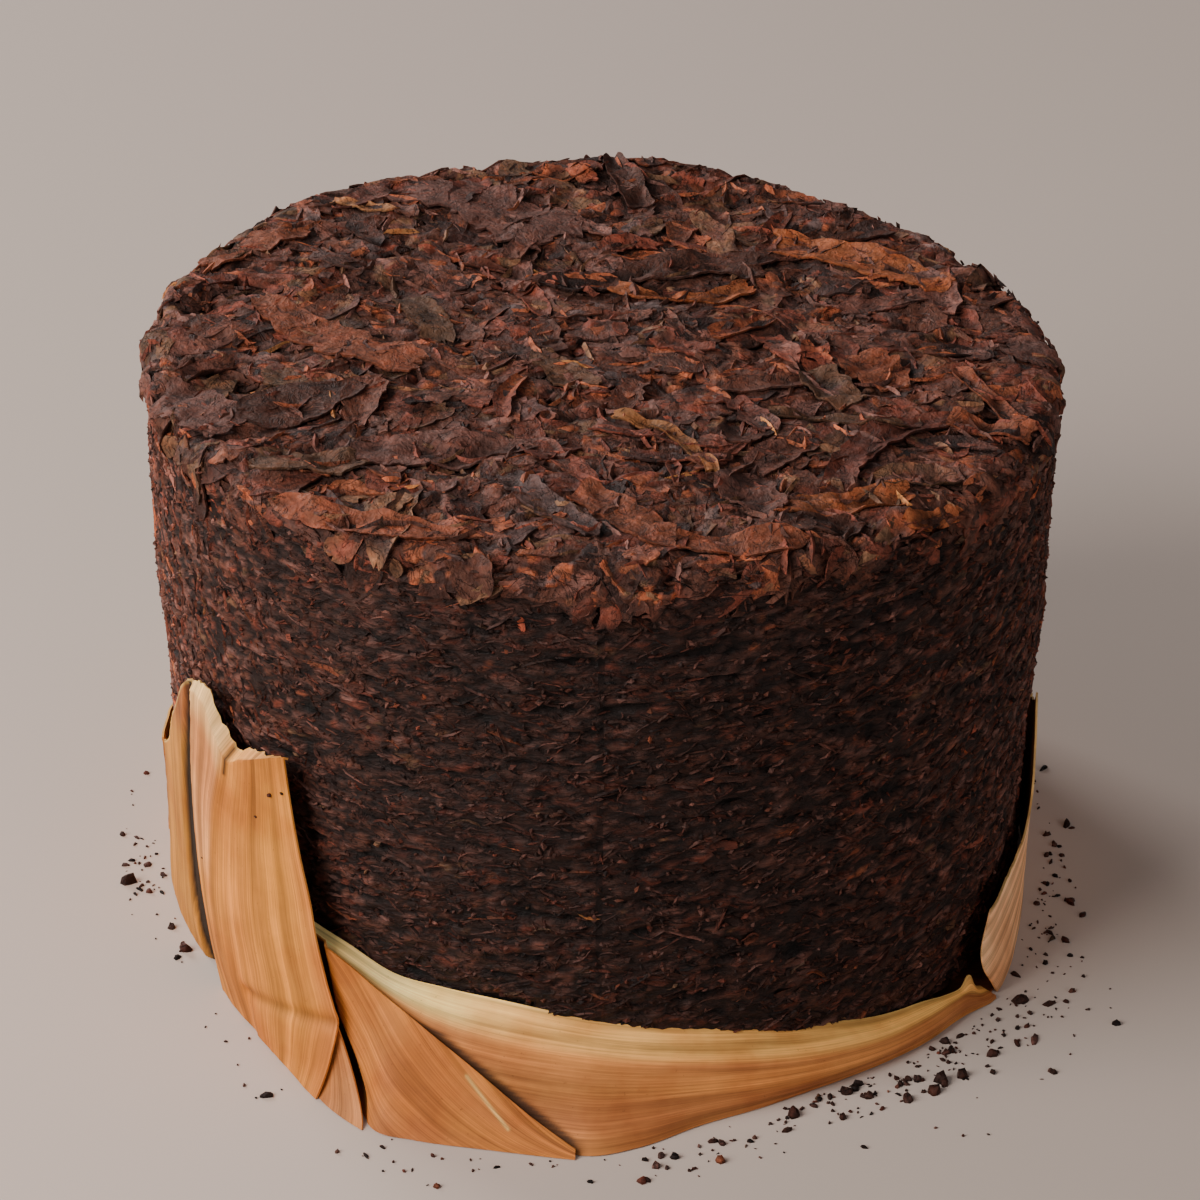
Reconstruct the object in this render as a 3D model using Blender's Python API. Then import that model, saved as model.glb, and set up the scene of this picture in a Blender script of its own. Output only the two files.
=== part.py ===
"""Pressed column of dark fermented tea, standing in the remains of its bamboo-husk wrapper.

Metres, +Z up, floor at z = 0, column axis on the Z axis. The photographed front faces -Y.
Angles round the column are in degrees from the front, growing towards +X.
Tables of heights and radii are in millimetres and are scaled by MM where they are used.
"""
import math

import bmesh
import bpy
import numpy as np

MM = 0.001

# Tea column
COLUMN_RADIUS = 0.100
COLUMN_TOP = 0.130
COLUMN_BASE = 0.0012
TOP_SLOPE = -0.0127
SHOULDER = 0.006
FOOT_ROUNDING = 0.003
TOP_CELLS = 24
SIDE_ROWS = 13
SHOULDER_ROWS = 2
SEED = 41

# The right side draws in towards the foot: depth, middle and half width of the hollow, heights
HOLLOW_DEPTH = 0.0026
HOLLOW_ANGLE = 86.0
HOLLOW_WIDTH = 26.0
HOLLOW_FULL = 0.045
HOLLOW_NONE = 0.072

# The left side swells out above the husk: depth, middle and half width, heights
SWELL_DEPTH = 0.0022
SWELL_ANGLE = -104.0
SWELL_WIDTH = 46.0
SWELL_NONE = 0.050
SWELL_FULL = 0.080

# The top stands up towards its back-left rim: rise, direction from +X, where it starts and is full
RISE = 0.0030
RISE_WAY = math.radians(127)
RISE_START = 0.030
RISE_FULL = 0.080

# Leaf-shaped bumps pressed into the core: count, half length, half width and height ranges
TOP_BUMPS = 150
TOP_BUMP_LENGTH = (0.008, 0.017)
TOP_BUMP_WIDTH = (0.004, 0.007)
TOP_BUMP_HEIGHT = (0.0003, 0.0011)
SIDE_BUMPS = 420
SIDE_BUMP_LENGTH = (0.006, 0.012)
SIDE_BUMP_WIDTH = (0.004, 0.007)
SIDE_BUMP_HEIGHT = (0.0004, 0.0015)
SIDE_INSET = 0.0012

# Leaves that lie whole on the top: x, y, heading in degrees, length, width, bend in degrees
LEAVES = (
    (-60, 2, -38, 52, 13, 40),
    (-86, -32, -40, 24, 14, 0),
    (-64, -29, 30, 27, 14, 10),
    (-60, -54, 3, 25, 11, 18),
    (-40, 13, -65, 26, 10, -20),
    (-10, -12, -59, 21, 8, 12),
    (-56, 63, -17, 16, 4, 0),
    (-80, 41, 41, 28, 9, -12),
    (-50, -79, -21, 41, 8, 22),
    (-33, -48, 5, 36, 11, -8),
    (-12, -72, -54, 31, 7, 14),
    (4, -76, -49, 28, 9, -10),
    (-4, 32, 9, 22, 8, 12),
    (-28, 64, -36, 45, 19, -14),
    (4, 85, -74, 25, 7, 10),
    (58, 46, -35, 45, 12, -45),
    (20, 40, 11, 30, 11, -10),
    (17, 27, 2, 34, 6, 70),
    (59, -10, -48, 17, 14, 0),
    (48, -17, -55, 18, 10, 0),
    (14, -44, -54, 38, 4, -60),
    (57, -45, 50, 46, 8, -70),
    (48, -68, 18, 30, 9, 8),
    (82, -22, -66, 32, 5, 10),
    (93, 0, -63, 15, 10, 0),
    (42, -79, 12, 20, 9, 0),
    (27, -86, 0, 26, 8, 14),
    (30, -66, -62, 20, 12, 0),
)
LEAF_ROOT = 0.0007
LEAF_RISE = 0.0013
LEAF_OVERHANG = 0.0012
LEAF_LENGTH_CELLS = 6
LEAF_WIDTH_CELLS = 2

# Leaves that cross the rim and stand a little proud of it
RIM_LEAVES = 20
RIM_LEAF_LENGTH = (0.014, 0.026)
RIM_LEAF_WIDTH = (0.007, 0.011)
RIM_LEAF_INSET = (0.0030, 0.0085)
RIM_LEAF_DRIFT = 0.8
RIM_LEAF_LENGTH_CELLS = 4

# Cuts that leave faces this close to level with each other are dissolved again
FLAT_ANGLE = math.radians(1)

# Bamboo husk
HUSK_THICKNESS = 0.0008
HUSK_FOOT = 0.0002
BASE_STEPS = 90

# Base sheet under the column: angle, radius
BASE_OUTLINE = (
    (-180, 99.4), (-70, 99.4), (-50, 100.6), (-40, 101.2), (-33, 104.6), (-26, 111),
    (-20, 114.4), (-12, 114.6), (-1, 115.2), (4, 112), (11, 105.6), (18, 103.4),
    (25, 102.2), (40, 101.8), (50, 101.2), (60, 100.9), (72, 98.9), (82, 97.6), (92, 97.8),
    (110, 99), (180, 99.4),
)

# Front band: angle, lip height, crease radius and height, belly radius and height, foot radius
BAND_STATIONS = (
    (-39, 31.0, 103.9, 29.8, 104.0, 12.0, 104.0),
    (-33, 28.9, 104.0, 27.7, 106.0, 12.0, 108.0),
    (-26, 25.0, 105.0, 24.0, 109.2, 12.0, 114.5),
    (-20, 24.3, 106.0, 20.8, 111.2, 10.0, 118.0),
    (-12, 22.9, 106.5, 18.6, 111.6, 9.0, 117.7),
    (-5, 21.1, 106.5, 17.3, 112.0, 8.0, 117.9),
    (-1, 20.1, 106.5, 16.5, 112.6, 7.8, 118.9),
    (4, 18.8, 106.5, 15.2, 111.0, 7.0, 115.6),
    (11, 16.9, 106.5, 13.5, 108.8, 6.0, 108.8),
    (18, 14.8, 106.3, 11.3, 107.6, 5.0, 106.3),
    (24, 12.4, 106.0, 9.2, 107.2, 4.2, 104.8),
    (30, 10.4, 105.9, 7.5, 107.0, 3.6, 104.4),
    (37, 7.6, 105.7, 6.0, 106.6, 3.0, 104.6),
    (43, 6.2, 105.3, 5.4, 106.2, 2.6, 105.1),
    (48, 5.2, 105.0, 5.2, 106.0, 2.4, 105.6),
    (50.2, 5.6, 104.9, 4.6, 106.0, 2.0, 106.1),
    (51.8, 7.6, 104.9, 2.8, 106.6, 1.5, 106.8),
    (53.2, 3.4, 105.4, 1.6, 107.1, 1.1, 107.5),
    (54.6, 1.7, 105.9, 1.3, 107.3, 1.0, 107.7),
)
BAND_LIP_RADIUS = 101.9
BAND_COLUMNS = 38
BAND_ROWS = (3, 2, 2)

# Triangle folded over the band: angle, upper edge height and radius, foot radius
TRIANGLE_STATIONS = (
    (-37, 33.0, 105.9, 109.4),
    (-34, 30.9, 105.8, 110.4),
    (-30, 28.4, 106.0, 112.6),
    (-27, 25.9, 106.5, 115.2),
    (-23, 22.6, 107.4, 121.0),
    (-19, 18.9, 108.6, 120.8),
    (-13, 13.0, 111.3, 119.7),
    (-7.4, 6.9, 115.1, 119.6),
    (-2.5, 2.0, 118.9, 120.3),
)
TRIANGLE_FOOT_START = -32.0
TRIANGLE_COLUMNS = 12
TRIANGLE_ROWS = 5

# Upright flap: height, then angle and radius of its shaded edge, its fold and its front edge
FLAP_ROWS = (
    (0, -55.6, 103.6, -48.6, 106.2, -31.2, 117.0),
    (5, -56.0, 104.0, -49.2, 107.0, -30.6, 115.2),
    (10, -56.6, 104.3, -50.2, 107.4, -29.9, 113.6),
    (19, -57.7, 104.6, -51.6, 107.4, -29.7, 111.5),
    (25, -58.3, 104.8, -52.4, 107.1, -31.2, 109.3),
    (33, -59.3, 104.7, -52.6, 106.8, -33.9, 107.2),
    (40, -59.9, 104.6, -52.5, 106.5, -35.7, 105.8),
    (50, -60.4, 104.4, -51.9, 106.2, -37.6, 104.6),
    (63, -60.2, 104.1, -50.3, 105.6, -39.1, 104.1),
    (78, -59.0, 103.9, -49.8, 105.2, -40.4, 103.7),
)
FLAP_FOLD_AT = 0.30
FLAP_FOOT_SAG = 1.8
FLAP_SAG_HEIGHT = 12.0
# Across the flap: share of its width, height of the top fold, height and radius of its lip
FLAP_TOP = (
    (0.00, 73.4, 74.6, 103.2),
    (0.09, 73.6, 77.4, 103.0),
    (0.16, 71.6, 76.8, 102.8),
    (0.20, 69.6, 73.4, 102.7),
    (0.27, 66.0, 69.6, 102.5),
    (0.32, 64.8, 67.6, 102.4),
    (0.50, 67.2, 68.9, 102.4),
    (0.75, 70.4, 70.6, 102.4),
    (1.00, 73.2, 72.3, 102.4),
)
FLAP_COLUMNS = 12
FLAP_WALL_ROWS = 10
FLAP_LIP_ROWS = 1

# Tucked corner between flap and triangle
TUCK_TOP = 18.6
TUCK_START = (-33.4, -31.6)
TUCK_END = (-24.4, -29.3)
TUCK_FOOT = ((-33.4, 111.9), (-31, 114.2), (-29, 117.2), (-24.4, 121.9))
TUCK_HOLLOW = 0.7
TUCK_HEAD_RADIUS = 109.9
TUCK_CELLS = 4

# Narrow strip behind the flap: angle, top height, wall radius
STRIP_STATIONS = (
    (-100, 24.0, 101.4),
    (-93, 24.5, 101.4),
    (-88, 28.5, 101.4),
    (-84, 33.0, 101.4),
    (-80, 37.5, 101.4),
    (-76, 42.0, 101.5),
    (-73, 46.5, 101.5),
    (-70.3, 54.0, 101.7),
    (-66.5, 62.0, 102.1),
    (-63.4, 69.5, 102.5),
    (-60.5, 73.5, 102.8),
    (-57, 66.0, 102.8),
    (-54.5, 60.0, 102.7),
)
STRIP_FOOT_RADIUS = 101.7
STRIP_FOOT_HEIGHT = 9.0
STRIP_COLUMNS = 18
STRIP_ROWS = 6

# Sheet from the stand-off corner round the right side to the back: angle, top, wall, foot
RIGHT_STATIONS = (
    (53, 21.0, 103.0, 106.7),
    (55, 21.5, 102.9, 106.3),
    (58, 22.8, 102.4, 105.4),
    (61, 24.2, 102.0, 104.4),
    (65, 25.8, 101.6, 102.9),
    (70, 28.5, 101.1, 101.4),
    (74, 34.0, 100.5, 100.5),
    (77, 40.5, 99.8, 99.9),
    (82, 48.5, 98.9, 99.2),
    (87, 43.0, 99.1, 99.4),
    (92, 37.5, 99.6, 99.7),
    (99, 33.5, 101.0, 100.8),
    (108, 34.5, 101.3, 101.1),
    (121, 39.0, 102.5, 101.8),
    (133, 40.0, 101.9, 101.6),
    (148, 36.0, 102.5, 101.9),
    (164, 37.5, 101.8, 101.5),
    (190, 35.5, 101.7, 101.4),
)
RIGHT_COLUMNS = 30

# Sheet that laps over it at the back and runs to the left side
LEFT_STATIONS = (
    (177, 34.0, 103.1, 102.8),
    (188, 37.0, 103.1, 102.7),
    (198, 35.0, 102.3, 101.9),
    (212, 38.5, 102.7, 102.1),
    (226, 35.0, 101.9, 101.6),
    (243, 32.0, 102.3, 101.9),
    (256, 29.0, 102.6, 102.7),
    (269, 26.0, 102.7, 102.9),
)
LEFT_COLUMNS = 18

# Free edge of the stand-off corner: height, angle, and how fast the shift fades round the sheet
CORNER_EDGE = ((0, 55.8), (4, 54.6), (8, 53.4), (13, 53.3), (17, 54.6), (22, 56.2))
CORNER_FADE = 9.0
LEFT_FOOT_HEIGHT = 9.0
RIGHT_FOOT_HEIGHT = 24.0
WALL_FLARE = 0.5
WALL_ROWS = 6

TEA_COLOUR = (0.085, 0.034, 0.021)
HUSK_COLOUR = (0.52, 0.27, 0.105)
HUSK_SHADE_COLOUR = (0.42, 0.20, 0.075)
TEA_ROUGHNESS = 0.75
HUSK_ROUGHNESS = 0.6


def clear_scene():
    for item in list(bpy.data.objects):
        bpy.data.objects.remove(item)


def material(name, colour, roughness):
    finish = bpy.data.materials.new(name)
    finish.use_nodes = True
    shader = finish.node_tree.nodes["Principled BSDF"]
    shader.inputs["Base Color"].default_value = (*colour, 1.0)
    shader.inputs["Roughness"].default_value = roughness
    shader.inputs["Metallic"].default_value = 0.0
    return finish


def curve(knots, at):
    """Smooth curve through (position, value) knots, held level beyond its ends."""
    knots = np.asarray(knots, float)
    place, value = knots[:, 0], knots[:, 1]
    slope = np.gradient(value, place)
    at = np.clip(at, place[0], place[-1])
    i = np.clip(np.searchsorted(place, at, side="right") - 1, 0, len(place) - 2)
    step = place[i + 1] - place[i]
    t = (at - place[i]) / step
    start = value[i] * (1 + 2 * t) * (1 - t) ** 2 + slope[i] * step * t * (1 - t) ** 2
    end = value[i + 1] * t * t * (3 - 2 * t) + slope[i + 1] * step * t * t * (t - 1)
    return start + end


def column_of(table, index):
    """Knots made of a table's first column and one of its other columns."""
    return [(row[0], row[index]) for row in table]


def ease(t):
    t = np.clip(t, 0.0, 1.0)
    return t * t * (3 - 2 * t)


def ring_points(angle, radius, height):
    """Points from angles in degrees, and radii and heights in millimetres."""
    turn = np.radians(angle)
    return np.stack([radius * np.sin(turn), -radius * np.cos(turn), height + 0 * turn], -1) * MM


def mesh_object(name, points, faces, finish):
    mesh = bpy.data.meshes.new(name)
    mesh.from_pydata([tuple(p) for p in points], [], faces)
    mesh.materials.append(finish)
    tidy = bmesh.new()
    tidy.from_mesh(mesh)
    bmesh.ops.recalc_face_normals(tidy, faces=tidy.faces[:])
    tidy.to_mesh(mesh)
    tidy.free()
    item = bpy.data.objects.new(name, mesh)
    bpy.context.scene.collection.objects.link(item)
    return item


def sheet_faces(columns, rows):
    """Triangles of a closed sheet: two like faces on grids of points, joined round the rim."""
    wide = rows + 1
    count = (columns + 1) * wide
    faces = []
    for i in range(columns):
        for j in range(rows):
            a, b = i * wide + j, (i + 1) * wide + j
            for corners in ((a, b, b + 1), (a, b + 1, a + 1)):
                faces.append(corners)
                faces.append(tuple(corner + count for corner in reversed(corners)))
    rim = [i * wide for i in range(columns)]
    rim += [columns * wide + j for j in range(rows)]
    rim += [i * wide + rows for i in range(columns, 0, -1)]
    rim += [j for j in range(rows, 0, -1)]
    for here, there in zip(rim, rim[1:] + rim[:1]):
        faces += [(here, here + count, there + count), (here, there + count, there)]
    return faces


def sheet(name, outer, finish, thickness=HUSK_THICKNESS):
    """Closed sheet whose outer face is a grid of points; the inner face follows it inside.

    The inner face stays as far above the floor as the outer one.
    """
    along = np.gradient(outer, axis=0)
    across = np.gradient(outer, axis=1)
    normal = np.cross(along, across)
    normal /= np.linalg.norm(normal, axis=-1, keepdims=True)
    middle = outer[outer.shape[0] // 2, 0]
    outward = np.array([middle[0], middle[1], 0.0])
    if np.dot(normal[outer.shape[0] // 2, 0], outward) < 0:
        normal = -normal
    inner = outer - normal * thickness
    inner[..., 2] = np.maximum(inner[..., 2], HUSK_FOOT)
    points = np.concatenate([outer.reshape(-1, 3), inner.reshape(-1, 3)])
    faces = sheet_faces(outer.shape[0] - 1, outer.shape[1] - 1)
    return mesh_object(name, points, faces, finish)


def spread(low, high, count):
    return np.linspace(low, high, count + 1)


def bump_set(rng, count, area, length, width, height, headings):
    """Random leaf-shaped bumps: place, heading, half length, half width and height."""
    return np.column_stack([
        rng.uniform(*area[0], count),
        rng.uniform(*area[1], count),
        rng.uniform(*headings, count),
        rng.uniform(*length, count),
        rng.uniform(*width, count),
        rng.uniform(*height, count),
    ])


def bump_height(bumps, x, y, wrap=None):
    """Height of the highest bump over each point; wrap is the length that x repeats on."""
    result = np.zeros_like(x)
    for cx, cy, heading, length, width, height in bumps:
        dx, dy = x - cx, y - cy
        if wrap:
            dx = (dx + wrap / 2) % wrap - wrap / 2
        a = (dx * math.cos(heading) + dy * math.sin(heading)) / length
        b = (dy * math.cos(heading) - dx * math.sin(heading)) / width
        dome = np.sqrt(np.clip(1 - a * a - b * b, 0, 1))
        result = np.maximum(result, height * dome)
    return result


def disc_grid(cells):
    """Square grid of cells mapped onto the unit disc, ring by ring."""
    side = np.linspace(-1, 1, cells + 1)
    u, v = np.meshgrid(side, side, indexing="ij")
    radius = np.maximum(np.abs(u), np.abs(v))
    wide = np.abs(u) >= np.abs(v)
    safe = np.where(radius == 0, 1, radius)
    turn = np.where(wide, v / safe, u / safe) * math.pi / 4
    x = np.where(wide, np.sign(u) * np.cos(turn), np.sin(turn)) * radius
    y = np.where(wide, np.sin(turn), np.sign(v) * np.cos(turn)) * radius
    return x, y


def border_of(cells):
    """Indices of the grid's border points, once round."""
    n = cells
    ring = [(i, 0) for i in range(n)] + [(n, j) for j in range(n)]
    ring += [(i, n) for i in range(n, 0, -1)] + [(0, j) for j in range(n, 0, -1)]
    return ring


def rise(x, y):
    """How much the top stands up at a place."""
    outward = x * math.cos(RISE_WAY) + y * math.sin(RISE_WAY)
    return RISE * ease((outward - RISE_START) / (RISE_FULL - RISE_START))


def bell(angle, middle, width):
    """Share that is 1 at the middle angle and falls off smoothly on both sides."""
    turn = (angle - middle + 180) % 360 - 180
    return np.exp(-(turn / width) ** 2)


def rim_swell(x, y):
    """How far the rim stands out in the direction of a place."""
    return SWELL_DEPTH * bell(np.degrees(np.arctan2(x, -y)), SWELL_ANGLE, SWELL_WIDTH)


def top_height(x, y):
    """Height of the bare top, with its slope, its rise and the rounded shoulder."""
    radius = np.hypot(x, y) - rim_swell(x, y)
    over = np.clip((radius - (COLUMN_RADIUS - SHOULDER)) / SHOULDER, 0, 1)
    return COLUMN_TOP + TOP_SLOPE * x + rise(x, y) - SHOULDER * (1 - np.sqrt(1 - over * over))


def side_radius(angle, height):
    """Bare radius of the side at an angle in degrees from the front and a height."""
    hollow = HOLLOW_DEPTH * ease((HOLLOW_NONE - height) / (HOLLOW_NONE - HOLLOW_FULL))
    swell = SWELL_DEPTH * ease((height - SWELL_NONE) / (SWELL_FULL - SWELL_NONE))
    return (COLUMN_RADIUS - hollow * bell(angle, HOLLOW_ANGLE, HOLLOW_WIDTH)
            + swell * bell(angle, SWELL_ANGLE, SWELL_WIDTH))


def column_core(rng, finish):
    """Core of the column: bumpy disc on top, shoulder, bumpy side, foot and flat base."""
    top_bumps = bump_set(rng, TOP_BUMPS, ((-COLUMN_RADIUS, COLUMN_RADIUS),) * 2,
                         TOP_BUMP_LENGTH, TOP_BUMP_WIDTH, TOP_BUMP_HEIGHT, (0, math.pi))
    round_length = 2 * math.pi * COLUMN_RADIUS
    side_bumps = bump_set(rng, SIDE_BUMPS, ((0, round_length), (0, COLUMN_TOP)),
                          SIDE_BUMP_LENGTH, SIDE_BUMP_WIDTH, SIDE_BUMP_HEIGHT, (-0.3, 0.3))
    flat_radius = COLUMN_RADIUS - SHOULDER
    x, y = (flat_radius * part for part in disc_grid(TOP_CELLS))
    stretch = 1 + rim_swell(x, y) * (x * x + y * y) / flat_radius ** 3
    x, y = x * stretch, y * stretch
    z = top_height(x, y) + bump_height(top_bumps, x, y)
    points = [(*place, height) for *place, height in zip(x.ravel(), y.ravel(), z.ravel())]
    wide = TOP_CELLS + 1
    faces = []
    for i in range(TOP_CELLS):
        for j in range(TOP_CELLS):
            a, b = i * wide + j, (i + 1) * wide + j
            faces += [(a, b, b + 1), (a, b + 1, a + 1)]
    border = border_of(TOP_CELLS)
    last = [i * wide + j for i, j in border]
    turns = np.array([math.atan2(y[i, j], x[i, j]) for i, j in border])
    arc = (turns % (2 * math.pi)) * COLUMN_RADIUS
    rim_x, rim_y = COLUMN_RADIUS * np.cos(turns), COLUMN_RADIUS * np.sin(turns)
    rim_height = COLUMN_TOP + TOP_SLOPE * rim_x + rise(rim_x, rim_y)
    rows = []
    for step in range(1, SHOULDER_ROWS + 1):
        tilt = step / SHOULDER_ROWS * math.pi / 2
        rows.append((SHOULDER * (math.sin(tilt) - 1),
                     rim_height - SHOULDER * (1 - math.cos(tilt))))
    low = COLUMN_BASE + FOOT_ROUNDING
    for step in range(1, SIDE_ROWS + 1):
        share = step / SIDE_ROWS
        rows.append((0.0, (rim_height - SHOULDER) * (1 - share) + low * share))
    rows.append((-FOOT_ROUNDING, np.full_like(turns, COLUMN_BASE)))
    for inset, height in rows:
        relief = bump_height(side_bumps, arc, height, round_length) - SIDE_INSET
        radius = side_radius(np.degrees(turns) + 90, height) + inset + relief
        ring = []
        for turn, reach, level in zip(turns, radius, height):
            ring.append(len(points))
            points.append((reach * math.cos(turn), reach * math.sin(turn), level))
        for here in range(len(ring)):
            there = (here + 1) % len(ring)
            faces += [(last[here], ring[here], ring[there]), (last[here], ring[there], last[there])]
        last = ring
    faces.append(tuple(last))
    return mesh_object("tea_column", points, faces, finish)


def leaf_object(name, x, y, heading, length, width, bend, cells, finish):
    """Thin wavy leaf rooted in the core, with its upper face a little above the top."""
    s, t = np.meshgrid(spread(-1, 1, cells), spread(-1, 1, LEAF_WIDTH_CELLS), indexing="ij")
    turn = np.radians(heading) + np.radians(bend) * s / 2
    step = length / 2 * (spread(-1, 1, cells)[1] - spread(-1, 1, cells)[0])
    spine_x = np.concatenate([[0], np.cumsum(np.cos((turn[1:, 0] + turn[:-1, 0]) / 2) * step)])
    spine_y = np.concatenate([[0], np.cumsum(np.sin((turn[1:, 0] + turn[:-1, 0]) / 2) * step)])
    spine_x += x - spine_x.mean()
    spine_y += y - spine_y.mean()
    half = width / 2 * (1 - np.abs(s) ** 3) ** 0.6 + 0.0008
    px = spine_x[:, None] - np.sin(turn) * half * t
    py = spine_y[:, None] + np.cos(turn) * half * t
    radius = np.hypot(px, py)
    reach = np.minimum(1, (COLUMN_RADIUS + LEAF_OVERHANG + rim_swell(px, py)) / radius)
    px, py = px * reach, py * reach
    bare = top_height(px, py)
    wave = 0.5 + 0.3 * np.sin(2.3 * s + heading) + 0.2 * np.cos(3 * t + heading)
    upper = bare + LEAF_RISE * (0.55 + 0.45 * wave)
    lower = bare - LEAF_ROOT
    outer = np.stack([px, py, upper], -1)
    inner = np.stack([px, py, lower], -1)
    points = np.concatenate([outer.reshape(-1, 3), inner.reshape(-1, 3)])
    return mesh_object(name, points, sheet_faces(cells, LEAF_WIDTH_CELLS), finish)


def top_leaves(rng, finish):
    """Leaves lying on the top and across the rim."""
    made = []
    for x, y, heading, length, width, bend in LEAVES:
        made.append(leaf_object("leaf", x * MM, y * MM, heading, length * MM, width * MM, bend,
                                LEAF_LENGTH_CELLS, finish))
    for number in range(RIM_LEAVES):
        angle = 360 * (number + rng.uniform(-RIM_LEAF_DRIFT, RIM_LEAF_DRIFT)) / RIM_LEAVES
        inset = rng.uniform(*RIM_LEAF_INSET)
        x = (COLUMN_RADIUS - inset) * math.cos(math.radians(angle))
        y = (COLUMN_RADIUS - inset) * math.sin(math.radians(angle))
        made.append(leaf_object("rim_leaf", x, y, angle + 90 + rng.uniform(-30, 30),
                                rng.uniform(*RIM_LEAF_LENGTH), rng.uniform(*RIM_LEAF_WIDTH),
                                rng.uniform(-12, 12), RIM_LEAF_LENGTH_CELLS, finish))
    return made


def tidy_union(mesh):
    """Fill the small hollows that a union seals, keeping the largest shell, and join level cuts."""
    tidy = bmesh.new()
    tidy.from_mesh(mesh)
    waiting = set(tidy.faces)
    shells = []
    while waiting:
        edge_of_shell = [waiting.pop()]
        shell = list(edge_of_shell)
        while edge_of_shell:
            face = edge_of_shell.pop()
            for edge in face.edges:
                for other in edge.link_faces:
                    if other in waiting:
                        waiting.remove(other)
                        edge_of_shell.append(other)
                        shell.append(other)
        shells.append(shell)
    shells.sort(key=len)
    for shell in shells[:-1]:
        bmesh.ops.delete(tidy, geom=shell, context="FACES")
    bmesh.ops.dissolve_limit(tidy, angle_limit=FLAT_ANGLE, verts=tidy.verts[:], edges=tidy.edges[:])
    bmesh.ops.triangulate(tidy, faces=tidy.faces[:])
    tidy.to_mesh(mesh)
    tidy.free()


def fuse(body, pieces):
    """One union of the body with every piece, applied, with the pieces then removed."""
    group = bpy.data.collections.new("leaves")
    bpy.context.scene.collection.children.link(group)
    for piece in pieces:
        bpy.context.scene.collection.objects.unlink(piece)
        group.objects.link(piece)
    union = body.modifiers.new("union", "BOOLEAN")
    union.operation = "UNION"
    union.operand_type = "COLLECTION"
    union.collection = group
    union.solver = "MANIFOLD"
    graph = bpy.context.evaluated_depsgraph_get()
    fused = bpy.data.meshes.new_from_object(body.evaluated_get(graph))
    body.modifiers.clear()
    body.data = fused
    tidy_union(fused)
    for piece in pieces:
        bpy.data.objects.remove(piece)
    bpy.data.collections.remove(group)


def tea_column(finish):
    rng = np.random.default_rng(SEED)
    body = column_core(rng, finish)
    fuse(body, top_leaves(rng, finish))
    return body


def husk_base(finish):
    """Flat sheet that the column stands on."""
    angles = np.linspace(-180, 180, BASE_STEPS, endpoint=False)
    radius = curve(BASE_OUTLINE, angles)
    thickness = HUSK_THICKNESS / MM
    low = ring_points(angles, radius, np.zeros(BASE_STEPS))
    high = ring_points(angles, radius, np.full(BASE_STEPS, thickness))
    points = list(low) + list(high)
    faces = [tuple(range(BASE_STEPS)), tuple(range(BASE_STEPS, 2 * BASE_STEPS))]
    for here in range(BASE_STEPS):
        there = (here + 1) % BASE_STEPS
        faces.append((here, there, there + BASE_STEPS, here + BASE_STEPS))
    return mesh_object("husk_base", points, faces, finish)


def husk_band(finish):
    """Band across the front foot: a flared wall, a crease and a lip that meets the column."""
    angle = spread(BAND_STATIONS[0][0], BAND_STATIONS[-1][0], BAND_COLUMNS)
    lip, crease_r, crease_z, belly_r, belly_z, foot_r = (
        curve(column_of(BAND_STATIONS, index), angle) for index in range(1, 7))
    foot_z = np.full_like(angle, HUSK_FOOT / MM)
    lip_r = np.full_like(angle, BAND_LIP_RADIUS)
    corners = ((foot_r, foot_z), (belly_r, belly_z), (crease_r, crease_z), (lip_r, lip))
    profile = []
    for (r0, z0), (r1, z1), cells in zip(corners, corners[1:], BAND_ROWS):
        profile += [(r0 + (r1 - r0) * k / cells, z0 + (z1 - z0) * k / cells) for k in range(cells)]
    profile.append(corners[-1])
    grid = np.stack([ring_points(angle, r, z) for r, z in profile], 1)
    return sheet("husk_band", grid, finish)


def husk_triangle(finish):
    """Triangle that is folded over the band and narrows to the front corner."""
    share, up = np.meshgrid(spread(0, 1, TRIANGLE_COLUMNS), spread(0, 1, TRIANGLE_ROWS),
                            indexing="ij")
    start = TRIANGLE_FOOT_START + (TRIANGLE_STATIONS[0][0] - TRIANGLE_FOOT_START) * up
    angle = start + (TRIANGLE_STATIONS[-1][0] - start) * share
    top, top_r, foot_r = (curve(column_of(TRIANGLE_STATIONS, index), angle) for index in (1, 2, 3))
    foot = HUSK_FOOT / MM
    return sheet("husk_triangle",
                 ring_points(angle, foot_r + (top_r - foot_r) * up, foot + (top - foot) * up),
                 finish)


def flap_wall(share, height):
    """Angle and radius of the flap at a share of its width and a height."""
    gap_a, gap_r, fold_a, fold_r, edge_a, edge_r = (
        curve(column_of(FLAP_ROWS, index), height) for index in range(1, 7))
    near = np.clip(share / FLAP_FOLD_AT, 0, 1)
    far = np.clip((share - FLAP_FOLD_AT) / (1 - FLAP_FOLD_AT), 0, 1)
    angle = gap_a + (fold_a - gap_a) * near + (edge_a - fold_a) * far
    radius = gap_r + (fold_r - gap_r) * near + (edge_r - fold_r) * far
    sag = FLAP_FOOT_SAG * np.clip(1 - height / FLAP_SAG_HEIGHT, 0, 1)
    return angle, radius - sag * 4 * far * (1 - far)


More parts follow.
